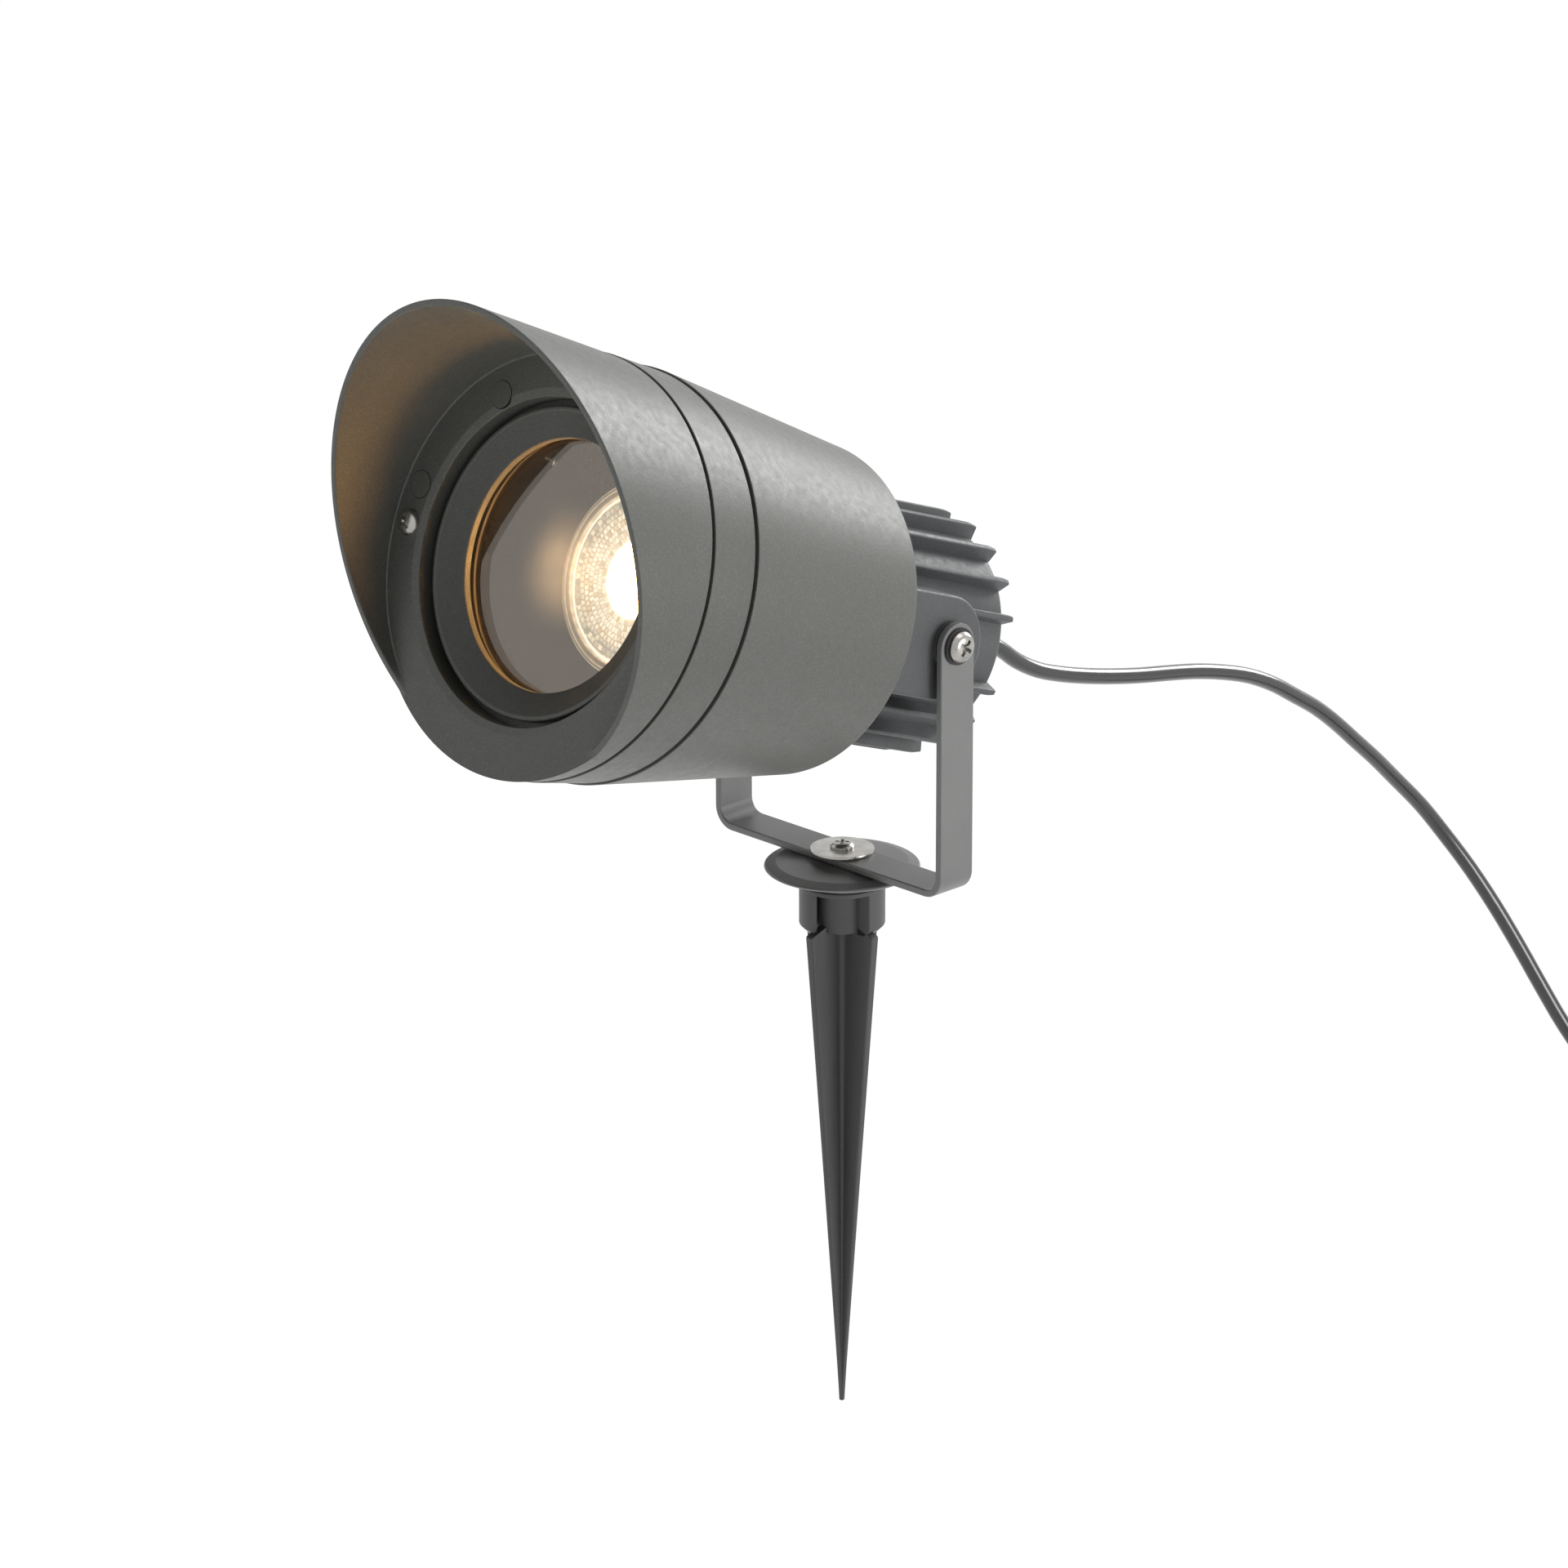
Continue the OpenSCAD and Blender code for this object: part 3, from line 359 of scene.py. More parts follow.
def black_rubber():
    """Matt rubber of seals, washers and the plug."""
    f = Finish("matt_black_rubber")
    dust = f.noise(f.at, 240, 4, 0.6)
    grain = f.noise(f.at, 1500, 2, 0.7)
    body = f.tone(dust, (0.016, 0.016, 0.017), (0.034, 0.033, 0.033), 1, 0.4, 0.8)
    f.set(Base_Color=body, Roughness=f.between(dust, 0.52, 0.7), Normal=f.bump(grain, 0.25, 0.00008))
    return f.material


def cord_sheath():
    """The lead's extruded sheath: faint lines along it and a soft sheen."""
    f = Finish("extruded_cord_sheath")
    lines = f.noise(f.stretched(f.out("ShaderNodeUVMap"), (0.02, 30, 1)), 6, 3)
    grain = f.noise(f.at, 1300, 2)
    body = f.tone(lines, (0.009, 0.009, 0.01), (0.018, 0.018, 0.019), 1, 0.35, 0.7)
    f.set(Base_Color=body, Roughness=f.between(grain, 0.16, 0.26), Coat_Weight=0.7, Coat_Roughness=0.1,
          Normal=f.bump(lines, 0.12, 0.00008, f.bump(grain, 0.1, 0.00005)))
    return f.material


def clear_glass():
    """The front pane: polished, with a warm glow of the lamp's light painted in its middle; the lamp's light passes to
    the walls round it.
    """
    f = Finish("clear_front_glass")
    smear = f.noise(f.at, 60, 4, 0.6)
    out = f.around_beam(GLASS_FRONT)[1]
    # painted light: a warm glow of the lamp, brightest on the beam
    painted_lamp_glow = f.times(f.spread(out, 0.19, 0.005, 0.0, 19.0, "SMOOTHERSTEP"), f.between(smear, 0.6, 1.2))
    f.set(Base_Color=f.tone(smear, (0.93, 0.93, 0.91), (0.97, 0.97, 0.95)),
          Transmission_Weight=1.0, IOR=1.8, Specular_Tint=(1.0, 0.89, 0.78),
          Roughness=f.spread(smear, 0.0, 0.02, 0.4, 0.8), Emission_Color=(1.0, 0.64, 0.31), Emission_Strength=painted_lamp_glow)
    path = f.add("ShaderNodeLightPath").outputs
    f.mix(f.math("MAXIMUM", path["Is Shadow Ray"], path["Is Diffuse Ray"]),
          f.out("ShaderNodeBsdfTransparent", {"Color": (0.95, 0.95, 0.93)}))
    return f.material


def lamp_glass():
    """The reflector lamp's pressed glass: thin bright rings of glow on its stepped rim are painted highlights."""
    f = Finish("coated_lamp_glass")
    out = f.around_beam(LAMP_FACE)[1]
    cloud = f.noise(f.at, 500, 3)
    rings = 0.0
    # painted highlights: thin bright rings of glow on the stepped rim
    for radius, half, share in ((24.9, 0.45, 0.75), (23.9, 0.3, 0.5), (22.3, 0.4, 0.8)):
        near = f.math("ABSOLUTE", f.minus(out, radius))
        rings = f.plus(rings, f.spread(near, share, 0.0, 0.0, half))
    body = f.tone(cloud, (0.2, 0.165, 0.12), (0.3, 0.25, 0.19))
    f.set(Base_Color=body, Roughness=f.between(cloud, 0.12, 0.28), Emission_Color=(1.0, 0.76, 0.48),
          Emission_Strength=f.plus(f.times(rings, f.between(cloud, 0.6, 1.1)), 0.12),
          Normal=f.bump(cloud, 0.2, 0.0002))
    return f.material


def inner_painted_shade_coat():
    """Painted shade: a near-black matt coat for the inside of the head, brown in the lamp's light."""
    f = Finish("matt_inner_coat")
    dust = f.noise(f.at, 300, 3, 0.6)
    f.set(Base_Color=f.tone(dust, (0.0035, 0.0024, 0.0015), (0.006, 0.0042, 0.0028)),
          Roughness=f.between(dust, 0.55, 0.7), Specular_IOR_Level=0.0, Normal=f.bump(dust, 0.1, 0.0001))
    return f.material


def lit_lens():
    """The lit lens: white hot in the middle, then rings of prisms with dim joints."""
    f = Finish("lit_lamp_lens")
    local, out, angle = f.around_beam(LAMP_FACE)
    place = f.plus(f.over(f.minus(out, PRISM_FIRST), PRISM_RING_STEP), 0.5)
    row = f.math("FLOOR", place)
    across = f.over(f.minus(f.math("FRACT", place), 0.5), PRISM_DEEP)
    offset = f.times(f.math("MODULO", row, 2.0), -0.5)
    turn = f.plus(f.times(angle, PRISMS_PER_RING / FULL), f.plus(offset, 0.5 + PRISMS_PER_RING))
    round_it = f.over(f.minus(f.math("FRACT", turn), 0.5), PRISM_WIDE)
    off = f.math("MAXIMUM", f.math("ABSOLUTE", across), f.math("ABSOLUTE", round_it))
    chance = f.add("ShaderNodeTexWhiteNoise", {"Vector": f.point(row, f.math("FLOOR", turn))}).outputs["Value"]
    grain = f.noise(local, 1500, 3, 0.7)
    joint = f.spread(f.plus(off, f.between(grain, -0.35, 0.35)), 0.0, 1.0, 0.6, 1.0)
    hot = f.spread(out, 1.0, 0.0, 7.4, 11.4, "SMOOTHSTEP")
    edge = f.spread(out, 0.0, 1.0, 17.0, 19.2, "SMOOTHSTEP")
    pale = f.blend(f.math("POWER", chance, 2.0), (1.0, 0.87, 0.64), (0.66, 0.48, 0.28))
    dull = f.blend(chance, (0.24, 0.25, 0.2), (0.9, 0.76, 0.54))
    depth = f.spread(out, 0.25, 0.8, 10.5, 17.0)
    prism = f.blend(f.times(joint, depth), f.blend(edge, pale, dull), (0.4, 0.26, 0.14))
    prism = f.blend(f.spread(out, 0.0, 1.0, 21.0, 21.5), prism, (1.0, 0.9, 0.7))
    f.set(Base_Color=f.blend(edge, (0.1, 0.09, 0.07), (0.06, 0.06, 0.05)), Roughness=f.spread(grain, 0.15, 0.3),
          Emission_Color=f.blend(hot, prism, (1.0, 0.5, 0.14)),
          Emission_Strength=f.spread(f.math("POWER", hot, 3.0), 1.12, LAMP_POWER))
    return f.material


def white_ceramic():
    """Glazed ceramic of the lamp holder and the terminal block."""
    f = Finish("glazed_ceramic")
    speck = f.noise(f.at, 1200, 2)
    body = f.tone(speck, (0.76, 0.73, 0.66), (0.6, 0.56, 0.48), 0.6, 0.55, 0.75)
    f.set(Base_Color=body, Roughness=f.spread(f.noise(f.at, 90), 0.22, 0.4), Normal=f.bump(speck, 0.1, 0.0001))
    return f.material


def wire_sleeve():
    """Braided silicone sleeve of the lamp's wires."""
    f = Finish("silicone_wire_sleeve")
    braid = f.add("ShaderNodeTexWave", {"Vector": f.at, "Scale": 700.0, "Distortion": 1.5}).outputs[1]
    f.set(Base_Color=f.blend(braid, (0.16, 0.05, 0.025), (0.3, 0.1, 0.05)),
          Roughness=f.spread(braid, 0.55, 0.7), Normal=f.bump(braid, 0.3, 0.0001))
    return f.material


FINISHES = {make.__name__: make() for make in (
    graphite_paint, black_plastic, bright_steel, black_rubber, cord_sheath, clear_glass, lamp_glass, lit_lens,
    white_ceramic, wire_sleeve)}
# a darker copy of the coat for the rear body: painted shade
CASTING_PAINTED_SHADE_COAT = casting_painted_shade()
# a lighter copy of the coat for the strap and the rosette: painted light
PAINTED_LIGHT_COAT = strap_and_rosette_painted_light()
# a near-black coat for the inside of the head: painted shade
INNER_PAINTED_SHADE_COAT = inner_painted_shade_coat()
# a darker copy of the coat for the recessed funnel in front of the glass: painted shade
RECESS_PAINTED_SHADE_COAT = graphite_paint("graphite_coat_in_recess", 0.4)


def eased(corners, steps=4):
    """The closed outline through corners (x, y, radius), each rounded by its radius."""
    outline = []
    for i, (x, y, radius) in enumerate(corners):
        here = Vector((x, y))
        back = Vector(corners[i - 1][:2]) - here
        ahead = Vector(corners[(i + 1) % len(corners)][:2]) - here
        if radius == 0:
            outline.append(here)
            continue
        cut = 0.0
        if min(back.length, ahead.length) > 1e-6:
            half = back.angle(ahead) / 2
            cut = min(radius / max(math.tan(half), 1e-3), back.length * CORNER_SHARE, ahead.length * CORNER_SHARE)
            back.normalize()
            ahead.normalize()
        for k in range(steps + 1):
            t = k / steps
            outline.append(here + back * cut * (1 - t) ** 2 + ahead * cut * t ** 2)
    return outline


def lofted(loops, wrap=False):
    """A closed shell over loops of as many points each: round to the first, or capped at both ends."""
    shape = bmesh.new()
    rows = [[shape.verts.new(p) for p in loop] for loop in loops]
    count = len(rows[0])
    for i in range(len(rows) if wrap else len(rows) - 1):
        low, high = rows[i], rows[(i + 1) % len(rows)]
        for j in range(count):
            k = (j + 1) % count
            shape.faces.new((low[j], low[k], high[k], high[j]))
    if not wrap:
        shape.faces.new(rows[0])
        shape.faces.new(rows[-1])
    bmesh.ops.remove_doubles(shape, verts=shape.verts, dist=WELD)
    bmesh.ops.dissolve_degenerate(shape, edges=shape.edges, dist=WELD / 10)
    bmesh.ops.recalc_face_normals(shape, faces=shape.faces)
    return shape


def turned(profile, sides=192, start=0.0, end=FULL):
    """A profile of (radius, level) turned round Z; a function of the angle may give the profile."""
    whole = abs(end - start - FULL) < 1e-6
    loops = []
    for i in range(sides if whole else sides + 1):
        a = start + (end - start) * i / sides
        points = profile(a) if callable(profile) else profile
        loops.append([(p[0] * math.cos(a), p[0] * math.sin(a), p[1]) for p in points])
    return lofted(loops, wrap=whole)


def ring(r_out, r_in, low, high, ease=0.2, sides=96):
    """A plain washer or sleeve with eased edges."""
    return turned(eased([(r_out, low, ease), (r_out, high, ease), (r_in, high, ease), (r_in, low, ease)], 2), sides)


def spun(degrees, radius):
    """The place at an angle and a radius round Z."""
    return Matrix.Rotation(math.radians(degrees), 4, "Z") @ Matrix.Translation((radius, 0, 0))


def moved(shape, place):
    """The same shell, laid at a place."""
    bmesh.ops.transform(shape, matrix=place, verts=shape.verts)
    return shape


def piece(name, shapes, body, slot, replaces=(), place=None, finish=None, smooth=35, inside=None,
          coats=(INNER_PAINTED_SHADE_COAT,)):
    """One named piece of closed shells, placed, finished and tied to its body.

    From a face's radius and level, inside gives 0 for the piece's finish or the number of a coat of painted shade."""
    data = bpy.data.meshes.new(name)
    whole = bmesh.new()
    for shape in shapes:
        part = bpy.data.meshes.new("part")
        shape.to_mesh(part)
        shape.free()
        whole.from_mesh(part)
        bpy.data.meshes.remove(part)
    # the faces that inside picks take a coat of painted shade
    if inside:
        for coat in (finish or FINISHES[slot], *coats):
            data.materials.append(coat)
        for face in whole.faces:
            middle = face.calc_center_median()
            face.material_index = int(inside(middle.xy.length, middle.z))
    whole.to_mesh(data)
    whole.free()
    return settled(name, data, body, slot, replaces, place, finish, smooth)


def settled(name, data, body, slot, replaces=(), place=None, finish=None, smooth=35):
    """The last steps of every piece. One of the head lies on the beam unless it has a place."""
    place = place or (HEAD if body == "head" else Matrix.Identity(4))
    data.transform(Matrix.Scale(MM, 4) @ place)
    data.polygons.foreach_set("use_smooth", [True] * len(data.polygons))
    data.set_sharp_from_angle(angle=math.radians(smooth))
    if not data.materials:
        data.materials.append(finish or FINISHES[slot])
    obj = added(name, data)
    if body:
        obj.modifiers.new("flat_faces_stay_flat", "WEIGHTED_NORMAL").keep_sharp = True
        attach(obj, body)
    if replaces:
        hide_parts(*replaces)
    return obj


# The lead: where it leaves the head, its way to the surface, and its coil
CORD_D = 4.5
TURN_SPACE = 0.6
COIL_R = 34.0
EXIT_S = -53.2
EXIT = HEAD @ Vector((0, 0, EXIT_S))
EXIT_WAY = Vector((0, math.cos(TILT), -math.sin(TILT)))
EXIT_STRAIGHT = 1.35 * CORD_D
LAY_Z = FLOOR_Z + 0.8 + CORD_D / 2
ROUTE = [
    (0, 60, 63.2), (0, 66, 58.7), (0, 74, 54.3), (0, 83, 51), (0, 93, 48.1), (0, 104, 45.4), (0, 115.5, 43),
    (0, 127, 41), (0, 138, 38.9), (0, 149, 36.1), (0, 160, 32.5), (0, 170.5, 27.6), (0, 180, 21.9), (0, 189, 16.3),
    (0, 197.5, 9.9), (0, 206.5, 2.3), (0, 215.5, -5.3), (0, 224.5, -13.5), (1, 235.5, -24.2), (3.5, 243.5, -34.5),
    (7.5, 250.5, -45.5), (12.5, 256.5, -57.5), (18, 261.5, -70), (23.5, 266, -82.5), (29, 270.5, -94.5),
    (35, 275.5, -105.5), (42, 281.5, -115.5), (50, 288.5, -123.5), (58.5, 296, -130), (67, 304.5, -133),
    (75.5, 313, LAY_Z), (84, 321.5, LAY_Z)]
SPIRAL_TURNS = 2.9375
CLIMB_TURNS = 0.5
ALL_TURNS = 2 * SPIRAL_TURNS + CLIMB_TURNS
COIL_START = math.radians(135)
TAIL = 63.0
LOOP_STEPS = 24


def coil_route():
    """A flat spiral in, a short climb and a spiral out on top of it."""
    pitch = CORD_D + TURN_SPACE
    lead_in = Vector(ROUTE[-1]) + Vector((1, 1, 0)).normalized() * CORD_D
    centre = lead_in - COIL_R * Vector((math.cos(COIL_START), math.sin(COIL_START), 0))
    middle = SPIRAL_TURNS + CLIMB_TURNS / 2
    points = []
    for k in range(int(ALL_TURNS * LOOP_STEPS) + 1):
        t = k / LOOP_STEPS
        radius = COIL_R - pitch * (t if t < middle else ALL_TURNS - t)
        rise = pitch * min(1.0, max(0.0, (t - SPIRAL_TURNS) / CLIMB_TURNS))
        a = COIL_START - FULL * t
        points.append(centre + Vector((radius * math.cos(a), radius * math.sin(a), rise)))
    a = COIL_START - FULL * ALL_TURNS
    way = Vector((math.sin(a), -math.cos(a), 0))
    return points + [points[-1] + way * far for far in (CORD_D, TAIL / 2, TAIL)]


def curved(points, steps=3):
    """A smooth line through points, as close points."""
    line = []
    for i in range(len(points) - 1):
        a, b = points[i], points[i + 1]
        before = points[i - 1] if i else a * 2 - b
        after = points[i + 2] if i + 2 < len(points) else b * 2 - a
        span = (b - a).length
        out_way = (b - before) * (span / max((b - before).length, span))
        in_way = (after - a) * (span / max((after - a).length, span))
        for k in range(steps):
            t = k / steps
            h = 2 * t ** 3 - 3 * t ** 2 + 1
            line.append(a * h + out_way * (t ** 3 - 2 * t ** 2 + t) + b * (1 - h) + in_way * (t ** 3 - t ** 2))
    line.append(points[-1])
    return line


def tube(line, radius, sides=18):
    """A round tube along a line, with its length in U and its girth in V."""
    shape = bmesh.new()
    uv = shape.loops.layers.uv.new("UVMap")
    side = Vector((1, 0, 0))
    turns = [FULL * j / sides for j in range(sides)]
    rows, gone, travelled = [], 0.0, []
    for i, p in enumerate(line):
        way = (line[min(i + 1, len(line) - 1)] - line[max(i - 1, 0)]).normalized()
        side = (side - way * side.dot(way)).normalized()
        across = way.cross(side)
        rows.append([shape.verts.new(p + radius * (side * math.cos(a) + across * math.sin(a))) for a in turns])
        gone += (p - line[i - 1]).length if i else 0.0
        travelled.append(gone)
    for i in range(len(rows) - 1):
        for j in range(sides):
            k = (j + 1) % sides
            face = shape.faces.new((rows[i][j], rows[i][k], rows[i + 1][k], rows[i + 1][j]))
            spots = ((i, j), (i, j + 1), (i + 1, j + 1), (i + 1, j))
            for corner, (m, n) in zip(face.loops, spots):
                corner[uv].uv = (travelled[m], n / sides)
    shape.faces.new(rows[0])
    shape.faces.new(rows[-1])
    bmesh.ops.recalc_face_normals(shape, faces=shape.faces)
    return shape


loose = curved([EXIT, EXIT + EXIT_WAY * EXIT_STRAIGHT] + [Vector(p) for p in ROUTE])
wound = curved([Vector(ROUTE[-1])] + coil_route(), 2)
lead_line = loose + wound[1:]


class Grown(Wiring):
    """A geometry tree with named inputs, which ends in real geometry of one finish."""

    KINDS = {int: "NodeSocketInt", float: "NodeSocketFloat"}

    def __init__(self, name, **sizes):
        super().__init__(bpy.data.node_groups.new(name, "GeometryNodeTree"))
        self.tree.interface.new_socket(name="Geometry", in_out="OUTPUT", socket_type="NodeSocketGeometry")
        self.keys = {}
        for key, value in sizes.items():
            self.size(key, self.KINDS[type(value)]).default_value = value
        self.size("finish", "NodeSocketMaterial")
        self.source = self.tree.nodes.new("NodeGroupInput")
        self.index = self.made("InputIndex")

    def size(self, key, kind):
        """A new named input of the tree."""
        item = self.tree.interface.new_socket(name=key.replace("_", " ").capitalize(), in_out="INPUT", socket_type=kind)
        self.keys[key] = item.identifier
        return item

    def __getitem__(self, key):
        return self.source.outputs[key.replace("_", " ").capitalize()]

    def made(self, kind, inputs=None, **settings):
        """The first output of a new geometry node."""
        return self.out("GeometryNode" + kind, inputs, **settings)

    def circle(self, sides, radius):
        return self.made("CurvePrimitiveCircle", {"Resolution": sides, "Radius": radius})

    def placed(self, shape, move=(0, 0, 0), turn=(0, 0, 0)):
        return self.made("Transform", {"Geometry": shape, "Translation": move, "Rotation": turn})

    def end(self, geometry):
        real = self.made("RealizeInstances", {0: geometry})
        done = self.made("SetMaterial", {"Geometry": real, "Material": self["finish"]})
        self.tree.links.new(done, self.tree.nodes.new("NodeGroupOutput").inputs[0])
        return self

    def copies(self, count, spot, shape, turn, scale=(1, 1, 1)):
        points = self.made("Points", {"Count": count, "Position": spot})
        return self.made("InstanceOnPoints", {"Points": points, "Instance": shape, "Rotation": turn, "Scale": scale})

    def around(self, count, radius, angle, shape, level=0.0):
        """Copies at a radius that face outwards, one at each angle."""
        return self.copies(count, self.polar(radius, angle, level), shape, self.point(z=angle))

    def bar(self, low, high, outline, ease):
        """A bar along Z of one outline, whose ends draw in by an easing share."""
        line = self.made("CurvePrimitiveLine", {"Start": self.point(z=low), "End": self.point(z=high)})
        line = self.made("ResampleCurve", {"Curve": line, "Count": BAR_POINTS})
        off = self.math("ABSOLUTE", self.minus(self.times(self.made("SplineParameter"), 2.0), 1.0))
        full = self.minus(1.0, self.times(self.math("POWER", off, BAR_SQUARENESS), ease))
        line = self.made("SetCurveRadius", {"Curve": line, "Radius": full})
        return self.made("CurveToMesh", {"Curve": line, "Profile Curve": outline, "Scale": full, "Fill Caps": True})

    def grow(self, name, body, slot, replaces=(), place=None, finish=None, **sizes):
        """The tree's result with these sizes, as a plain mesh piece."""
        seed = added("seed", bpy.data.meshes.new("seed"))
        modifier = seed.modifiers.new("grown", "NODES")
        modifier.node_group = self.tree
        for key, value in sizes.items():
            modifier[self.keys[key]] = value
        modifier[self.keys["finish"]] = finish or FINISHES[slot]
        bpy.context.view_layer.update()
        graph = bpy.context.evaluated_depsgraph_get()
        data = bpy.data.meshes.new_from_object(seed.evaluated_get(graph))
        bpy.data.objects.remove(seed)
        return settled(name, data, body, slot, replaces, place, finish)


def fin_tree():
    """The heat sink's fins, without the ones under the two flat pads."""
    t = Grown("heat_sink_fins", count=20, skip=10, root_radius=27.6, tip_radius=FIN_R, root_width=2.6,
              tip_width=1.7, low=REAR_FACE, high=REAR_FRONT, edge=0.5)
    outline = t.made("CurvePrimitiveQuadrilateral", {
        "Height": t.minus(t["tip_radius"], t["root_radius"]), "Bottom Width": t["root_width"],
        "Top Width": t["tip_width"], "Offset": 0.0}, mode="TRAPEZOID")
    outline = t.made("FilletCurve", {"Curve": outline, "Radius": t["edge"], "Limit Radius": True, "Count": 4},
                     mode="POLY")
    fin = t.bar(t["low"], t["high"], t.placed(outline, turn=(0, 0, -math.pi / 2)), 0.18)
    middle = t.times(t.plus(t["tip_radius"], t["root_radius"]), 0.5)
    angle = t.times(t.index, t.over(FULL, t["count"]))
    points = t.made("Points", {"Count": t["count"], "Position": t.polar(middle, angle)})
    under_pad = t.math("LESS_THAN", t.math("MODULO", t.index, t["skip"]), 0.5)
    points = t.made("DeleteGeometry", {"Geometry": points, "Selection": under_pad})
    x, y, _ = t.split(t.made("InputPosition"))
    turn = t.point(z=t.math("ARCTAN2", y, x))
    return t.end(t.made("InstanceOnPoints", {"Points": points, "Instance": fin, "Rotation": turn}))


def screw_tree():
    """Pan head screws with a cross recess, seated on Z = 0, in a ring of any radius."""
    t = Grown("pan_head_screws", count=1, ring=0.0, first=0.0, step=0.0, level=0.0, head_radius=3.0, head_height=2.0,
              thread_radius=1.5, length=8.0, seed=1)
    head_r, head_h, thread_r, length = (t[key] for key in ("head_radius", "head_height", "thread_radius", "length"))
    blank = t.made("MeshCylinder", {"Vertices": 48, "Side Segments": 3, "Fill Segments": 7, "Radius": head_r,
                                    "Depth": head_h})
    x, y, z = t.split(t.made("InputPosition"))
    out = t.over(t.distance(x, y), head_r)
    dome = t.math("SQRT", t.math("MAXIMUM", t.minus(1.0, t.math("POWER", out, 3.2)), 0.0))
    up = t.plus(t.over(z, head_h), 0.5)
    tall = t.plus(0.38, t.times(dome, 0.62))
    shaped = t.made("SetPosition", {"Geometry": blank, "Position": t.point(x, y, t.times(t.times(up, tall), head_h))})
    deep = t.times(head_h, 0.6)
    cone = t.made("MeshCone", {"Vertices": 16, "Radius Top": t.times(head_r, 0.33),
                               "Radius Bottom": t.times(head_r, 0.14), "Depth": deep})
    arm = t.made("MeshCube", {"Size": t.point(t.times(head_r, 1.12), t.times(head_r, 0.25), t.times(deep, 2.0))})
    recess = [t.placed(arm, t.point(z=head_h), (0, 0, a)) for a in (0.0, math.pi / 2)]
    recess.append(t.placed(cone, t.point(z=t.minus(t.times(head_h, 1.01), deep))))
    cut = t.add("GeometryNodeMeshBoolean", {0: shaped}, operation="DIFFERENCE", solver="EXACT")
    for hollow in recess:
        t.tree.links.new(hollow, cut.inputs[1])
    shank = t.made("MeshCylinder", {"Vertices": 24, "Radius": t.times(thread_r, 0.84), "Depth": length})
    shank = t.placed(shank, t.point(z=t.times(length, -0.5)))
    run = t.minus(length, thread_r)
    ridge_r = t.times(thread_r, 0.88)
    helix = t.made("CurveSpiral", {"Resolution": 14, "Rotations": t.over(run, t.times(thread_r, 0.5)),
                                   "Start Radius": ridge_r, "End Radius": ridge_r, "Height": run})
    ridge = t.circle(4, t.times(thread_r, 0.12))
    helix = t.made("CurveToMesh", {"Curve": helix, "Profile Curve": ridge, "Fill Caps": True})
    helix = t.placed(helix, t.point(z=t.times(length, -0.985)))
    screw = t.add("GeometryNodeJoinGeometry")
    for part in (helix, shank, cut.outputs[0]):
        t.tree.links.new(part, screw.inputs[0])
    spot = t.polar(t["ring"], t.plus(t["first"], t.times(t.index, t["step"])), t["level"])
    any_turn = t.add("FunctionNodeRandomValue", {2: 0.0, 3: FULL, "Seed": t["seed"]}).outputs[1]
    return t.end(t.copies(t["count"], spot, screw.outputs[0], t.point(z=any_turn)))


def rib_tree():
    """Grip ribs round a nut or a cap, with eased ends."""
    t = Grown("grip_ribs", count=18, radius=7.0, rib_radius=0.5, low=0.0, high=6.0)
    outline = t.circle(10, t["rib_radius"])
    angle = t.times(t.index, t.over(FULL, t["count"]))
    return t.end(t.around(t["count"], t["radius"], angle, t.bar(t["low"], t["high"], outline, 0.7)))


def collar_tree():
    """Round rings along Z that grow from one radius to another, as on a strain relief."""
    t = Grown("relief_rings", count=5, low=0.0, high=10.0, low_radius=3.0, high_radius=5.0, thickness=0.5)
    circle = t.circle(40, 1.0)
    last = t.minus(t["count"], 1.0)
    radius = t.spread(t.index, t["low_radius"], t["high_radius"], 0.0, last)
    level = t.spread(t.index, t["low"], t["high"], 0.0, last)
    grown = t.copies(t["count"], t.point(z=level), circle, t.point(), t.point(radius, radius, 1.0))
    section = t.circle(10, t["thickness"])
    return t.end(t.made("CurveToMesh", {"Curve": t.made("RealizeInstances", {0: grown}), "Profile Curve": section}))


def prism_tree():
    """The lens's small domed prisms, in rings that are turned half a step from each other."""
    t = Grown("lens_prisms", rings=PRISM_RINGS, per_ring=PRISMS_PER_RING, low_radius=PRISM_FIRST,
              high_radius=PRISM_FIRST + (PRISM_RINGS - 1) * PRISM_RING_STEP, level=0.0, fill=PRISM_WIDE, rise=0.35)
    row = t.math("FLOOR", t.over(t.index, t["per_ring"]))
    half = t.times(t.math("MODULO", row, 2.0), 0.5)
    step = t.over(FULL, t["per_ring"])
    angle = t.times(t.plus(t.math("MODULO", t.index, t["per_ring"]), half), step)
    gaps = t.minus(t["rings"], 1.0)
    reach = t.minus(t["high_radius"], t["low_radius"])
    radius = t.plus(t["low_radius"], t.times(t.over(row, gaps), reach))
    wide = t.times(t.times(radius, t["fill"]), step)
    deep = t.times(t.over(reach, gaps), PRISM_DEEP)
    dome = t.made("MeshUVSphere", {"Segments": 8, "Rings": 5, "Radius": 1.0})
    return t.end(t.copies(t.times(t["rings"], t["per_ring"]), t.polar(radius, angle, t["level"]), dome,
                          t.point(z=angle), t.point(deep, wide, t["rise"])))


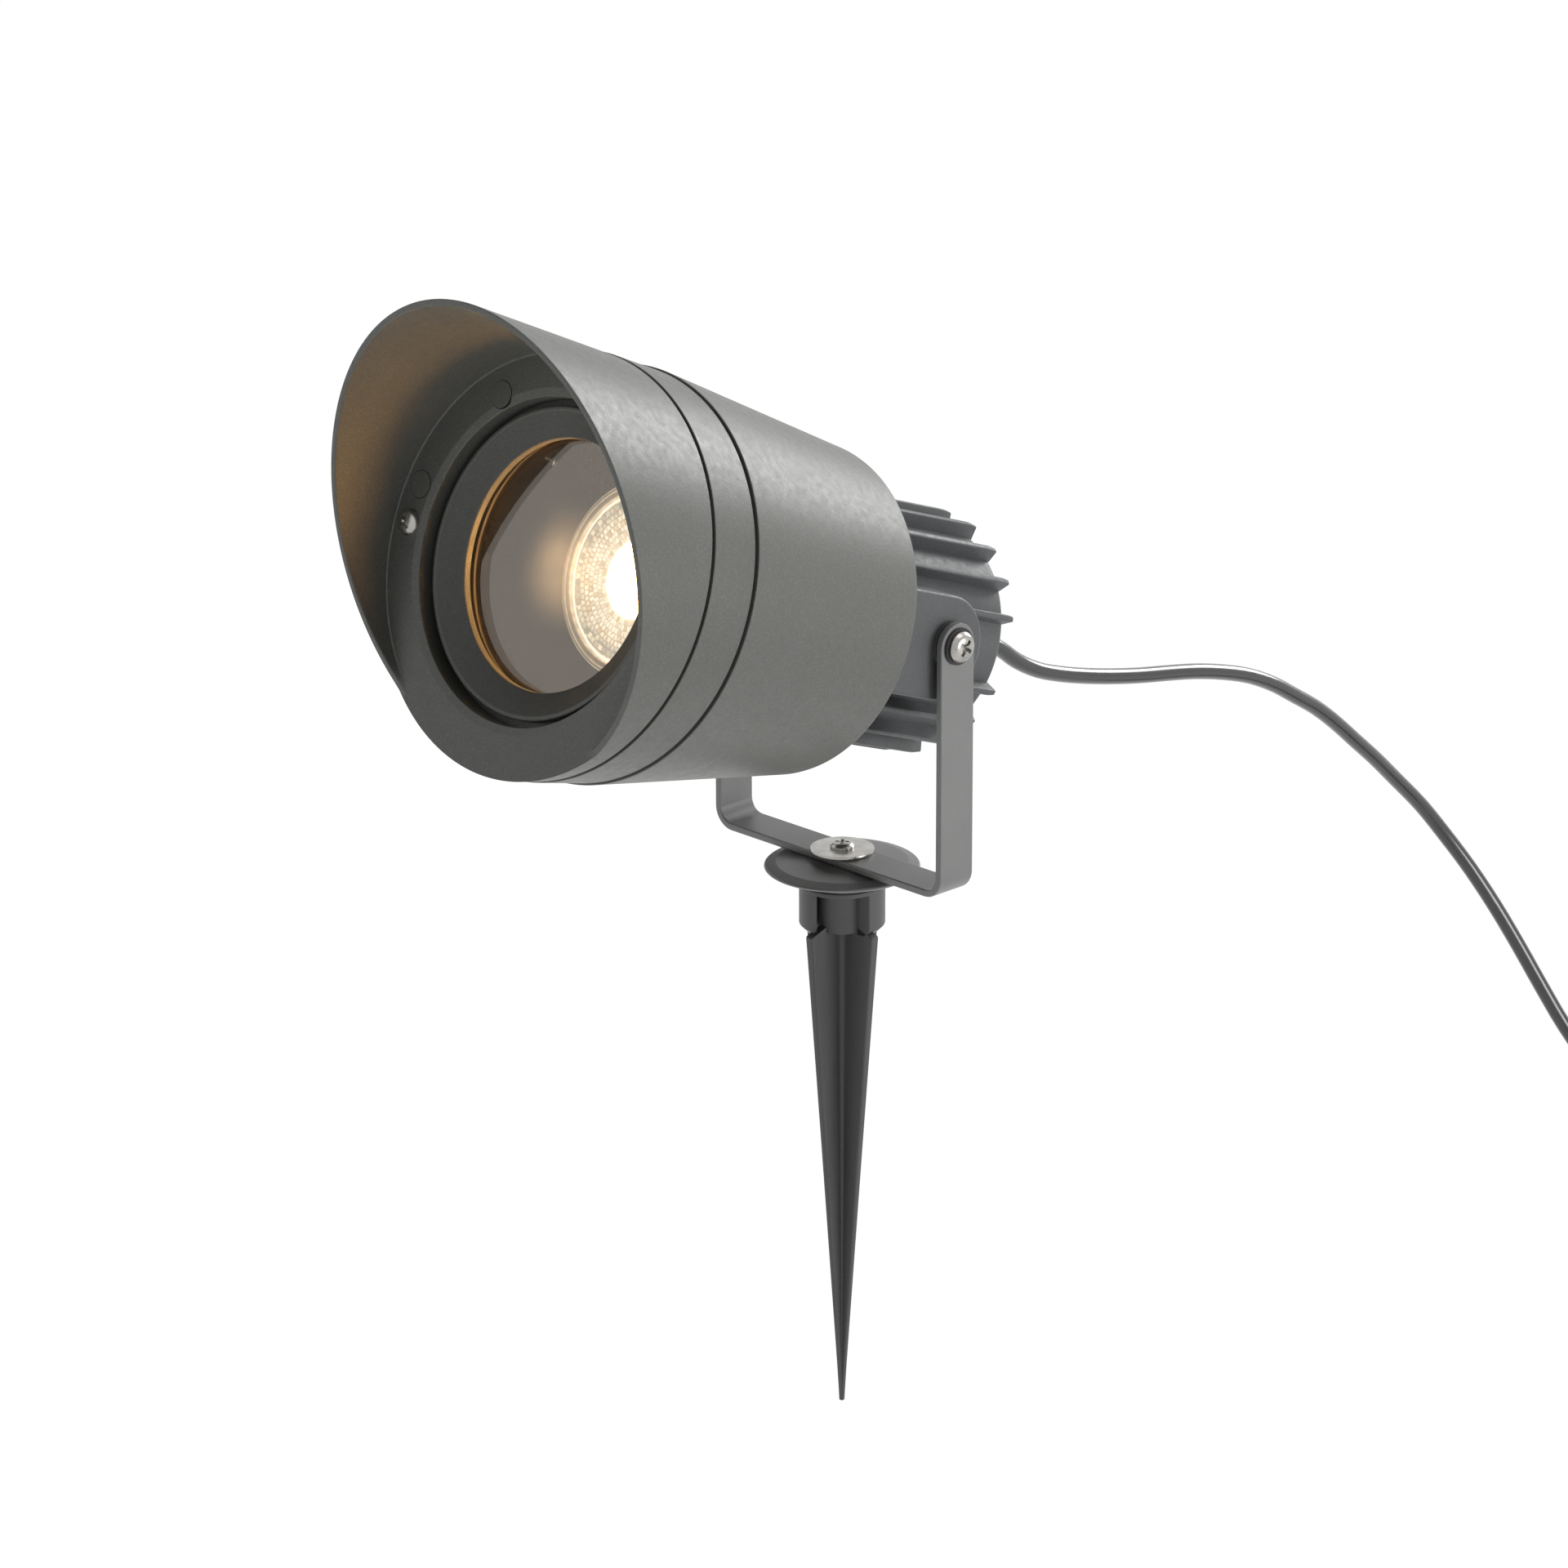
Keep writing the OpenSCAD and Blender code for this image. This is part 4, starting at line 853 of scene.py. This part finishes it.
def mark_tree():
    """Two pairs of faint round marks on the cowl's face, the upper pair nearer the beam."""
    t = Grown("round_marks", first=0.2147, step=0.7592, pair_step=1.9531, low_ring=MARK_LOW_R, high_ring=MARK_HIGH_R,
              radius=MARK_R, rise=0.25, level=FACE_S)
    disc = t.made("MeshCylinder", {"Vertices": 40, "Radius": t["radius"], "Depth": t["rise"]})
    pair = t.math("FLOOR", t.times(t.index, 0.5))
    second = t.math("MODULO", t.index, 2.0)
    angle = t.plus(t["first"], t.plus(t.times(second, t["step"]), t.times(pair, t["pair_step"])))
    upper = t.math("ABSOLUTE", t.minus(second, pair))
    ring_r = t.spread(upper, t["low_ring"], t["high_ring"])
    return t.end(t.around(4, ring_r, angle, disc, t["level"]))


FINS = fin_tree()
SCREWS = screw_tree()
RIBS = rib_tree()
RINGS = collar_tree()
PRISMS = prism_tree()
MARKS = mark_tree()


def visor_reach(angle, radius):
    """How far past the flat face the oblique cut lets the visor go, at an angle and a root radius."""
    top = COWL_R_FACE + VISOR_SLOPE * VISOR_REACH
    rise, up = math.tan(VISOR_CUT), math.sin(angle)
    return max(0.0, (VISOR_REACH - (top - radius * up) * rise) / (1 - VISOR_SLOPE * rise * up))


def cowl_profile(angle):
    """The cowl's section: its hollow back, its skin, the visor as far as it goes there, and the flat face."""
    lip = COWL_R_FACE - RIM_WALL
    outer, inner = visor_reach(angle, COWL_R_FACE), visor_reach(angle, lip)
    foot, hollow, web = RING_FRONT + 0.02, COWL_R_BACK - 3.2, FACE_S - 3.3
    return eased([
        (FACE_R_IN, foot, 0), (FACE_R_IN + 2, foot, 0), (FACE_R_IN + 2, web, 0), (hollow, web, 0), (hollow, foot, 0),
        (COWL_R_BACK, foot, 0.35), (COWL_R_FACE, FACE_S, 1.0),
        (COWL_R_FACE + VISOR_SLOPE * outer, FACE_S + outer, 0.35), (lip + VISOR_SLOPE * inner, FACE_S + inner, 0.45),
        (COWL_R_FACE - VISOR_WALL, FACE_S, 0.5), (FACE_R_IN + 2.2, FACE_S, 2.0), (FACE_R_IN, FACE_S - 0.45, 0.4)])


piece("cowl_with_visor", [turned(cowl_profile, 288)], "head", "graphite_paint", ["cowl"])
MARKS.grow("cowl_marks", "head", "graphite_paint")
MARKS_AT = ((12.3, MARK_LOW_R), (55.8, MARK_HIGH_R), (124.2, MARK_HIGH_R), (167.7, MARK_LOW_R))
# near-black rings round the marks: painted shade at their edges
piece("cowl_mark_painted_shade_rings", [moved(ring(MARK_R + 0.14, MARK_R - 0.1, FACE_S - 0.3, FACE_S + 0.04, 0.02, 40), spun(*at))
                         for at in MARKS_AT], "head", "graphite_paint", finish=INNER_PAINTED_SHADE_COAT)

skin = RING_FRONT - SEAM_W
# its faces inside the head take the near-black painted shade coat, and the recessed funnel in front of the glass the
# darker painted shade copy of the coat
piece("front_ring_casting", [turned(eased([
    (OPENING_R, WEB_FRONT, 0.5), (38.3, RECESS_TOP, 0.8), (39.4, RECESS_TOP, 0.5), (39.4, RING_FRONT, 0),
    (RING_R_FRONT - SEAM_D, RING_FRONT, 0), (RING_R_FRONT - SEAM_D, skin, 0), (RING_R_FRONT, skin, 0.3),
    (RING_R_BACK, HOUSING_FRONT, 0.3), (SEAT_R, HOUSING_FRONT, 0), (SEAT_R, 89, 0), (SEAT_R - 1.1, 89, 0),
    (SEAT_R - 1.1, 87.6, 0), (SEAT_R, 87.6, 0), (SEAT_R, 85.4, 0.3), (SCREW_RING, 85.4, 0.3), (SCREW_RING, 103.2, 1),
    (42.5, 103.2, 0.5), (42.5, 98.6, 0.3), (36.9, 98.6, 0.3), (36.9, GLASS_SEAT, 0), (OPENING_R, GLASS_SEAT, 0.2)],
    3), 256)]
    + [moved(ring(4, 1.6, HOUSING_FRONT, RING_FRONT), spun(a, SCREW_RING)) for a in (180, 0)],
    "head", "graphite_paint", ["front_ring"], coats=(INNER_PAINTED_SHADE_COAT, RECESS_PAINTED_SHADE_COAT),
    inside=lambda r, s: 1 if r < 51 and s < GLASS_SEAT - 0.1 else 2 * (32.5 < r < 37.5 and s > WEB_FRONT))


def housing_inner(s):
    """The radius of the cone's inner wall at a station."""
    share = (s - HOUSING_START) / (HOUSING_FRONT - HOUSING_START)
    return HOUSING_R_BACK - WALL + share * (HOUSING_R_FRONT - HOUSING_R_BACK)


skin = HOUSING_FRONT - SEAM_W
floor_s = HOUSING_START + WALL
ledge_r = housing_inner(PLATE_BACK) - 3.8
plate_screw_r = housing_inner(PLATE_BACK) - 2.3
# its inside faces take the near-black painted shade coat
piece("housing_casting", [turned(eased([
    (14, HOUSING_START, 0.5), (HOUSING_R_BACK, HOUSING_START, 1.6), (HOUSING_R_FRONT - 0.06, skin, 0.3),
    (HOUSING_R_FRONT - SEAM_D, skin, 0), (HOUSING_R_FRONT - SEAM_D, HOUSING_FRONT, 0),
    (SEAT_R + 0.1, HOUSING_FRONT, 0.3), (SEAT_R + 0.1, 84, 0), (housing_inner(84), 84, 0),
    (housing_inner(PLATE_BACK), PLATE_BACK, 0), (ledge_r, PLATE_BACK, 0.4), (ledge_r, PLATE_BACK - 3, 0.4),
    (housing_inner(PLATE_BACK - 3), PLATE_BACK - 3, 0.6), (housing_inner(floor_s), floor_s, 2), (14, floor_s, 0.5)],
    4), 256)]
    + [moved(ring(4, 1.5, 77, 85.3), spun(a, SCREW_RING)) for a in (180, 0)]
    + [moved(ring(3.4, 1.5, PLATE_BACK - 3, PLATE_BACK), spun(a, plate_screw_r)) for a in (30, 150, 270)],
    "head", "graphite_paint", ["housing"],
    inside=lambda r, s: HOUSING_START + 0.5 < s < HOUSING_FRONT and r < housing_inner(s) + 1.2)


def rear_shapes():
    """The cup of the rear body with its bosses, its post and the two flat pads."""
    inner_face, pad_r, pad_s = REAR_FACE + 4, 13.8, 1
    shapes = [turned(eased([
        (6, REAR_FACE, 0.4), (REAR_R, REAR_FACE, 1.4), (REAR_R, REAR_FRONT, 0.3), (CUP_R_IN, REAR_FRONT, 0.3),
        (CUP_R_IN, inner_face, 1.5), (6, inner_face, 0.3)], 4), 160)]
    shapes.append(moved(ring(4, 1.5, REAR_FACE + 3, REAR_FACE + 13), Matrix.Translation((0, -13, 0))))
    shapes += [moved(ring(4.1, 2, 5.9, REAR_FRONT), spun(a, REAR_SCREW_RING)) for a in (90, 210, 330)]
    turns = [math.pi * k / 40 for k in range(1, 40)]
    for side in (1, -1):
        layers = []
        for x, inset in ((25.8, 0), (37.4, 0), (37.9, 0.12), (38.25, 0.4), (38.4, 0.75), (38.45, 1.2)):
            r = pad_r - inset
            outline = [(r, REAR_FRONT), (r, pad_s)] + [(r * math.cos(a), pad_s - r * math.sin(a)) for a in turns]
            layers.append([(side * x, y, s) for y, s in outline + [(-r, pad_s), (-r, REAR_FRONT)]])
        shapes.append(lofted(layers))
    return shapes


# the rear body takes the darker copy of the coat: painted shade
piece("rear_body_cup", rear_shapes(), "head", "graphite_paint", ["rear_body"], finish=CASTING_PAINTED_SHADE_COAT)
FINS.grow("rear_body_fins", "head", "graphite_paint", ["rear_body"], finish=CASTING_PAINTED_SHADE_COAT)

piece("front_glass", [turned(eased([
    (0, GLASS_BACK, 0), (GLASS_R, GLASS_BACK, 0.4), (GLASS_R, GLASS_FRONT, 0.4), (0, GLASS_FRONT, 0)], 3), 128)],
    "head", "clear_glass", ["glass"])
piece("lamp_reflector", [turned(eased([
    (0, LAMP_BACK, 0), (8.5, LAMP_BACK, 0.8), (9.5, 43.3, 2), (13, 48.1, 2), (20.5, 63.5, 4), (23.4, 71.4, 0.5),
    (23.4, 73.9, 0.3), (25, 73.9, 0.3), (25, 75.9, 0.5), (24.3, LAMP_FACE, 0.2), (23.9, 75.8, 0.2),
    (23.3, LAMP_FACE, 0.2), (22.7, 76.1, 0.2), (22.2, 75.6, 0.2), (22.2, 74.2, 0.2), (0, 74.2, 0)], 3), 128)],
    "head", "lamp_glass", ["lamp_body"])
piece("lamp_lens_disc", [turned(eased([
    (0, 74.25, 0), (22.15, 74.25, 0.1), (22.15, 75.0, 0.2), (20.8, 75.5, 0.3), (20.2, 75.1, 0.2), (19.6, 75.35, 0.2),
    (7, 75.25, 0.4), (6.5, 75.6, 0.4), (0, 75.7, 0)], 3), 96)], "head", "lit_lens", ["lamp_lens"])
PRISMS.grow("lamp_lens_prisms", "head", "lit_lens", level=75.2)


def screws(name, body, replaced, level, radius, height, thread, length, seed, place=None, **ring_of):
    """Bright screws: their level, the heads' radius and height, the threads' radius and length, and a seed."""
    SCREWS.grow(name, body, "bright_steel", [replaced], place, level=level, head_radius=radius, head_height=height,
                thread_radius=thread, length=length, seed=seed, **ring_of)


SIDEWAYS = Matrix.Translation((0, 0, PIVOT_Z)) @ Matrix.Rotation(math.pi / 2, 4, "Y")
PAIR = {"count": 2, "step": math.pi}
THREE = {"count": 3, "step": FULL / 3}
screws("cowl_screw_pair", "head", "cowl_screws", FACE_S - 0.4, 3.4, 2.1, 1.5, 32.0, 4, ring=SCREW_RING, **PAIR)
screws("pivot_screw_right", "head", "pivot_screws", 42.45, 4.1, 2.3, 2.5, 14.0, 3, SIDEWAYS)
screws("pivot_screw_left", "head", "pivot_screws", 42.45, 4.1, 2.3, 2.5, 14.0, 7, spun(180, 0) @ SIDEWAYS)
screws("rear_screw_set", "head", "rear_screws", 21.9, 3.8, 2.8, 2.0, 13.0, 5, ring=REAR_SCREW_RING,
       first=math.pi / 2, **THREE)
screws("plate_screw_set", "head", "plate_screws", 73.9, 2.3, 2.1, 1.5, 6.0, 6, ring=plate_screw_r,
       first=math.radians(30), **THREE)
screws("holder_screw_pair", "head", "holder_screws", 23.4, 2.9, 2.1, 1.5, 4.0, 8, ring=17.2, **PAIR)

HEX = [FULL * (k + 0.5) / 6 for k in range(6)]
piece("gland_body_moulding", [
    lofted([[(r * math.cos(a), r * math.sin(a), s) for a in HEX]
            for r, s in ((8.2, -35.2), (8.66, -34.8), (8.66, -31.6), (8.2, REAR_FACE))]),
    ring(5.9, 2.3, REAR_FACE - 0.5, -24.2), ring(5, 4.4, -40.2, -35)], "head", "black_plastic", ["gland_body"])
piece("gland_nut_moulding", [turned(eased([
    (2.35, -43.2, 0.2), (5.8, -43.2, 0.6), (6.6, -41.2, 0.5), (6.6, -35.2, 0.3), (5.05, -35.2, 0), (5.05, -41.2, 0),
    (2.35, -41.2, 0)], 3), 72)], "head", "black_plastic", ["gland_nut"])
RIBS.grow("gland_nut_ribs", "head", "black_plastic", count=20, radius=6.55, rib_radius=0.45, low=-41.6, high=-35.5)
piece("cord_relief_sleeve", [turned(eased([
    (2.3, EXIT_S, 0.2), (2.8, EXIT_S, 0.3), (4.3, -43.2, 0.2), (2.3, -43.2, 0.2)], 3), 64)],
    "head", "black_rubber", ["cord_relief"])
RINGS.grow("cord_relief_rings", "head", "black_rubber", count=6, low=-52.4, high=-44.2, low_radius=2.75,
           high_radius=4.1, thickness=0.42)


def strap_shape():
    """The strap as a flat bar with round ends, bent along a U; its long edges are eased."""
    thick, wide, inner_bend = 1.95, 12.0, 4
    end_r, half_thick = wide / 2, thick / 2
    span, low = STRAP_HALF - half_thick, STRAP_TOP - half_thick
    bend = inner_bend + half_thick
    flat = span - bend
    quarter = bend * math.pi / 2
    leg = PIVOT_Z + end_r - low - bend
    total = flat + quarter + leg

    def spot(u):
        """The middle line's point and its outward normal at a distance from the middle of the base."""
        side = 1 if u > 0 else -1
        u = abs(u)
        if u <= flat:
            return Vector((side * u, 0, low)), Vector((0, 0, -1))
        if u <= flat + quarter:
            a = (u - flat) / bend
            out = Vector((side * math.sin(a), 0, -math.cos(a)))
            return Vector((side * flat, 0, low + bend)) + out * bend, out
        return Vector((side * span, 0, low + bend + u - flat - quarter)), Vector((side, 0, 0))

    half = [flat * k / 10 for k in range(1, 11)] + [flat + quarter * k / 10 for k in range(1, 11)]
    half += [flat + quarter + (leg - end_r) * k / 12 for k in range(1, 12)]
    half += [total - end_r + end_r * math.sin(math.pi / 2 * k / 14) for k in range(15)]
    loops = []
    for u in [-v for v in reversed(half)] + [0.0] + half:
        past = max(0.0, abs(u) - (total - end_r))
        here = math.sqrt(max(0.04, end_r ** 2 - past ** 2))
        centre, out = spot(u)
        ease = min(0.45, here * 0.5)
        outline = eased([(-here, -half_thick, ease), (here, -half_thick, ease), (here, half_thick, ease),
                         (-here, half_thick, ease)], 3)
        loops.append([centre + Vector((0, p.x, 0)) + out * p.y for p in outline])
    return lofted(loops)


# the strap takes the lighter copy of the coat: painted light
piece("bracket_strap", [strap_shape()], "bracket", "graphite_paint", ["bracket"], finish=PAINTED_LIGHT_COAT)


def spike_shapes():
    """Four blades that taper to the tip, the boss, the two ears of the collar and its flange."""

    def cross(reach, half, level, web):
        """The four blades' outline at a level, with its inner corners rounded by web."""
        edge = min(0.55, half * 0.6)
        corners = []
        for k in range(4):
            turn = Matrix.Rotation(math.pi / 2 * k, 2)
            for x, y, r in ((reach, -half, edge), (reach, half, edge), (half, half, web)):
                p = turn @ Vector((x, y))
                corners.append((p.x, p.y, r))
        return [(p.x, p.y, level) for p in eased(corners, 3)]

    tip, blade, boss_r, foot_r, ear_r = 0.5, 1.3, 6.6, 9.7, 11.4
    loops = [cross(tip + 11.9 * t, tip + (blade - tip) * t, FLOOR_Z * (1 - t), 0.1 + 1.6 * t)
             for t in (k / 24 for k in range(25))]
    loops += [cross(12.1, blade, 0.35, 1.7), cross(6.4, blade, 2.4, 1.7)]
    boss = turned(eased([(0, 0.4, 0), (7.2, 0.4, 0.5), (7.2, COLLAR_TOP, 0), (0, COLLAR_TOP, 0)], 3), 72)
    flange = turned(eased([(0, 12.1, 0), (11.9, 12.1, 0.35), (11.9, COLLAR_TOP, 0.35), (0, COLLAR_TOP, 0)], 3), 96)
    ear = eased([(9.4, 0, 0.3), (foot_r, 0, 0.2), (ear_r, 1.7, 0.5), (ear_r, 12.8, 0), (9.4, 12.8, 0)], 3)
    ears = [turned(ear, 32, a, a + math.pi / 2) for a in (0, math.pi)]
    webs = []
    for side in (1, -1):
        outlines = []
        for reach, level in ((foot_r, 0.1), (ear_r, 1.9), (ear_r, 12.6)):
            corners = [(side * boss_r, -blade, 0.1), (side * reach, -blade, 0.4), (side * reach, blade, 0.4),
                       (side * boss_r, blade, 0.1)]
            outlines.append([(p.x, p.y, level) for p in eased(corners, 3)])
        webs.append(lofted(outlines))
    return [lofted(loops), boss, flange] + ears + webs


piece("spike_moulding", spike_shapes(), "root", "black_plastic", ["spike"])
# the rosette, in the strap's shadow, takes the lighter copy of the coat: painted light
piece("rosette_disc", [turned(eased([
    (2.1, COLLAR_TOP, 0.2), (11.4, COLLAR_TOP, 0.3), (11.4, 17, 0.8), (20.25, 17, 0.3), (20.7, 17.45, 0.4),
    (20.25, 17.9, 0.4), (17.5, 18.7, 2), (10, ROSETTE_TOP, 2), (2.1, ROSETTE_TOP, 0.2)], 4), 144)],
    "root", "graphite_paint", ["rosette"], finish=PAINTED_LIGHT_COAT)
piece("base_washer_plate", [ring(8.5, 2.05, STRAP_TOP + 0.05, STRAP_TOP + 1.05, 0.3, 96)],
      "root", "bright_steel", ["base_washer"])
screws("base_screw_pan", "root", "base_screw", STRAP_TOP + 1.1, 3.2, 1.6, 2.0, 22.0, 11)

lead = piece("power_lead", [tube(lead_line, CORD_D / 2)], None, "cord_sheath", smooth=60)
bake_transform(lead)
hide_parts("cord", "cord_coil")

slots = {part["node"]: part["material_slot"] for part in frame["record"]["subparts"]}
# the lamp plate and the glass clamp take the near-black painted shade coat, the other CAD nodes their slots' finishes
for name, obj in nodes.items():
    for holder in obj.material_slots:
        holder.material = INNER_PAINTED_SHADE_COAT if name in ("lamp_plate", "glass_clamp") else FINISHES[slots[name]]


def pale_stage():
    """A pale floor that shows as white where it is lit, and keeps the shadow."""
    f = Finish("pale_floor")
    f.set(Base_Color=f.blend(f.noise(f.at, 3), (0.8, 0.8, 0.79), (0.82, 0.82, 0.81)), Roughness=0.9)
    f.mix(f.spread(f.seen(), 0.5, 0.8), f.out("ShaderNodeEmission", {"Color": (1, 1, 1), "Strength": 1.2}))
    shape = turned([(0, FLOOR_Z - 0.5), (3000, FLOOR_Z - 0.5), (3000, FLOOR_Z - 0.02), (0, FLOOR_Z - 0.02)], 64)
    data = bpy.data.meshes.new("floor")
    shape.to_mesh(data)
    shape.free()
    data.transform(Matrix.Scale(MM, 4))
    data.materials.append(f.material)
    added("floor", data)


# The surrounding light, and each lamp's place, size and power
AMBIENT = 0.03
SOFTBOXES = (("overhead", (0.35, 0.2, 1.2), 0.8, 2.5), ("behind_right", (0.0, 2.1, 0.95), 1.1, 27),
             ("low_right", (1.3, 0.5, 0.02), 0.7, 8))
AIM = Vector((0, 0, 0.08))


def studio():
    """A white surrounding that lights little, and three round lamps."""
    world = bpy.data.worlds.new("studio")
    bpy.context.scene.world = world
    world.use_nodes = True
    w = Wiring(world.node_tree)
    back = w.tree.nodes["Background"]
    w.feed(back.inputs["Color"], (1, 1, 1))
    w.feed(back.inputs["Strength"], w.spread(w.seen(), AMBIENT, 1.0))
    for name, place, size, power in SOFTBOXES:
        data = bpy.data.lights.new(name, "AREA")
        data.shape = "DISK"
        data.size = size
        data.energy = power
        lamp = added(name, data)
        lamp.location = place
        lamp.rotation_euler = (AIM - Vector(place)).to_track_quat("-Z", "Y").to_euler()
    bpy.context.scene.view_settings.view_transform = "Standard"


pale_stage()
studio()
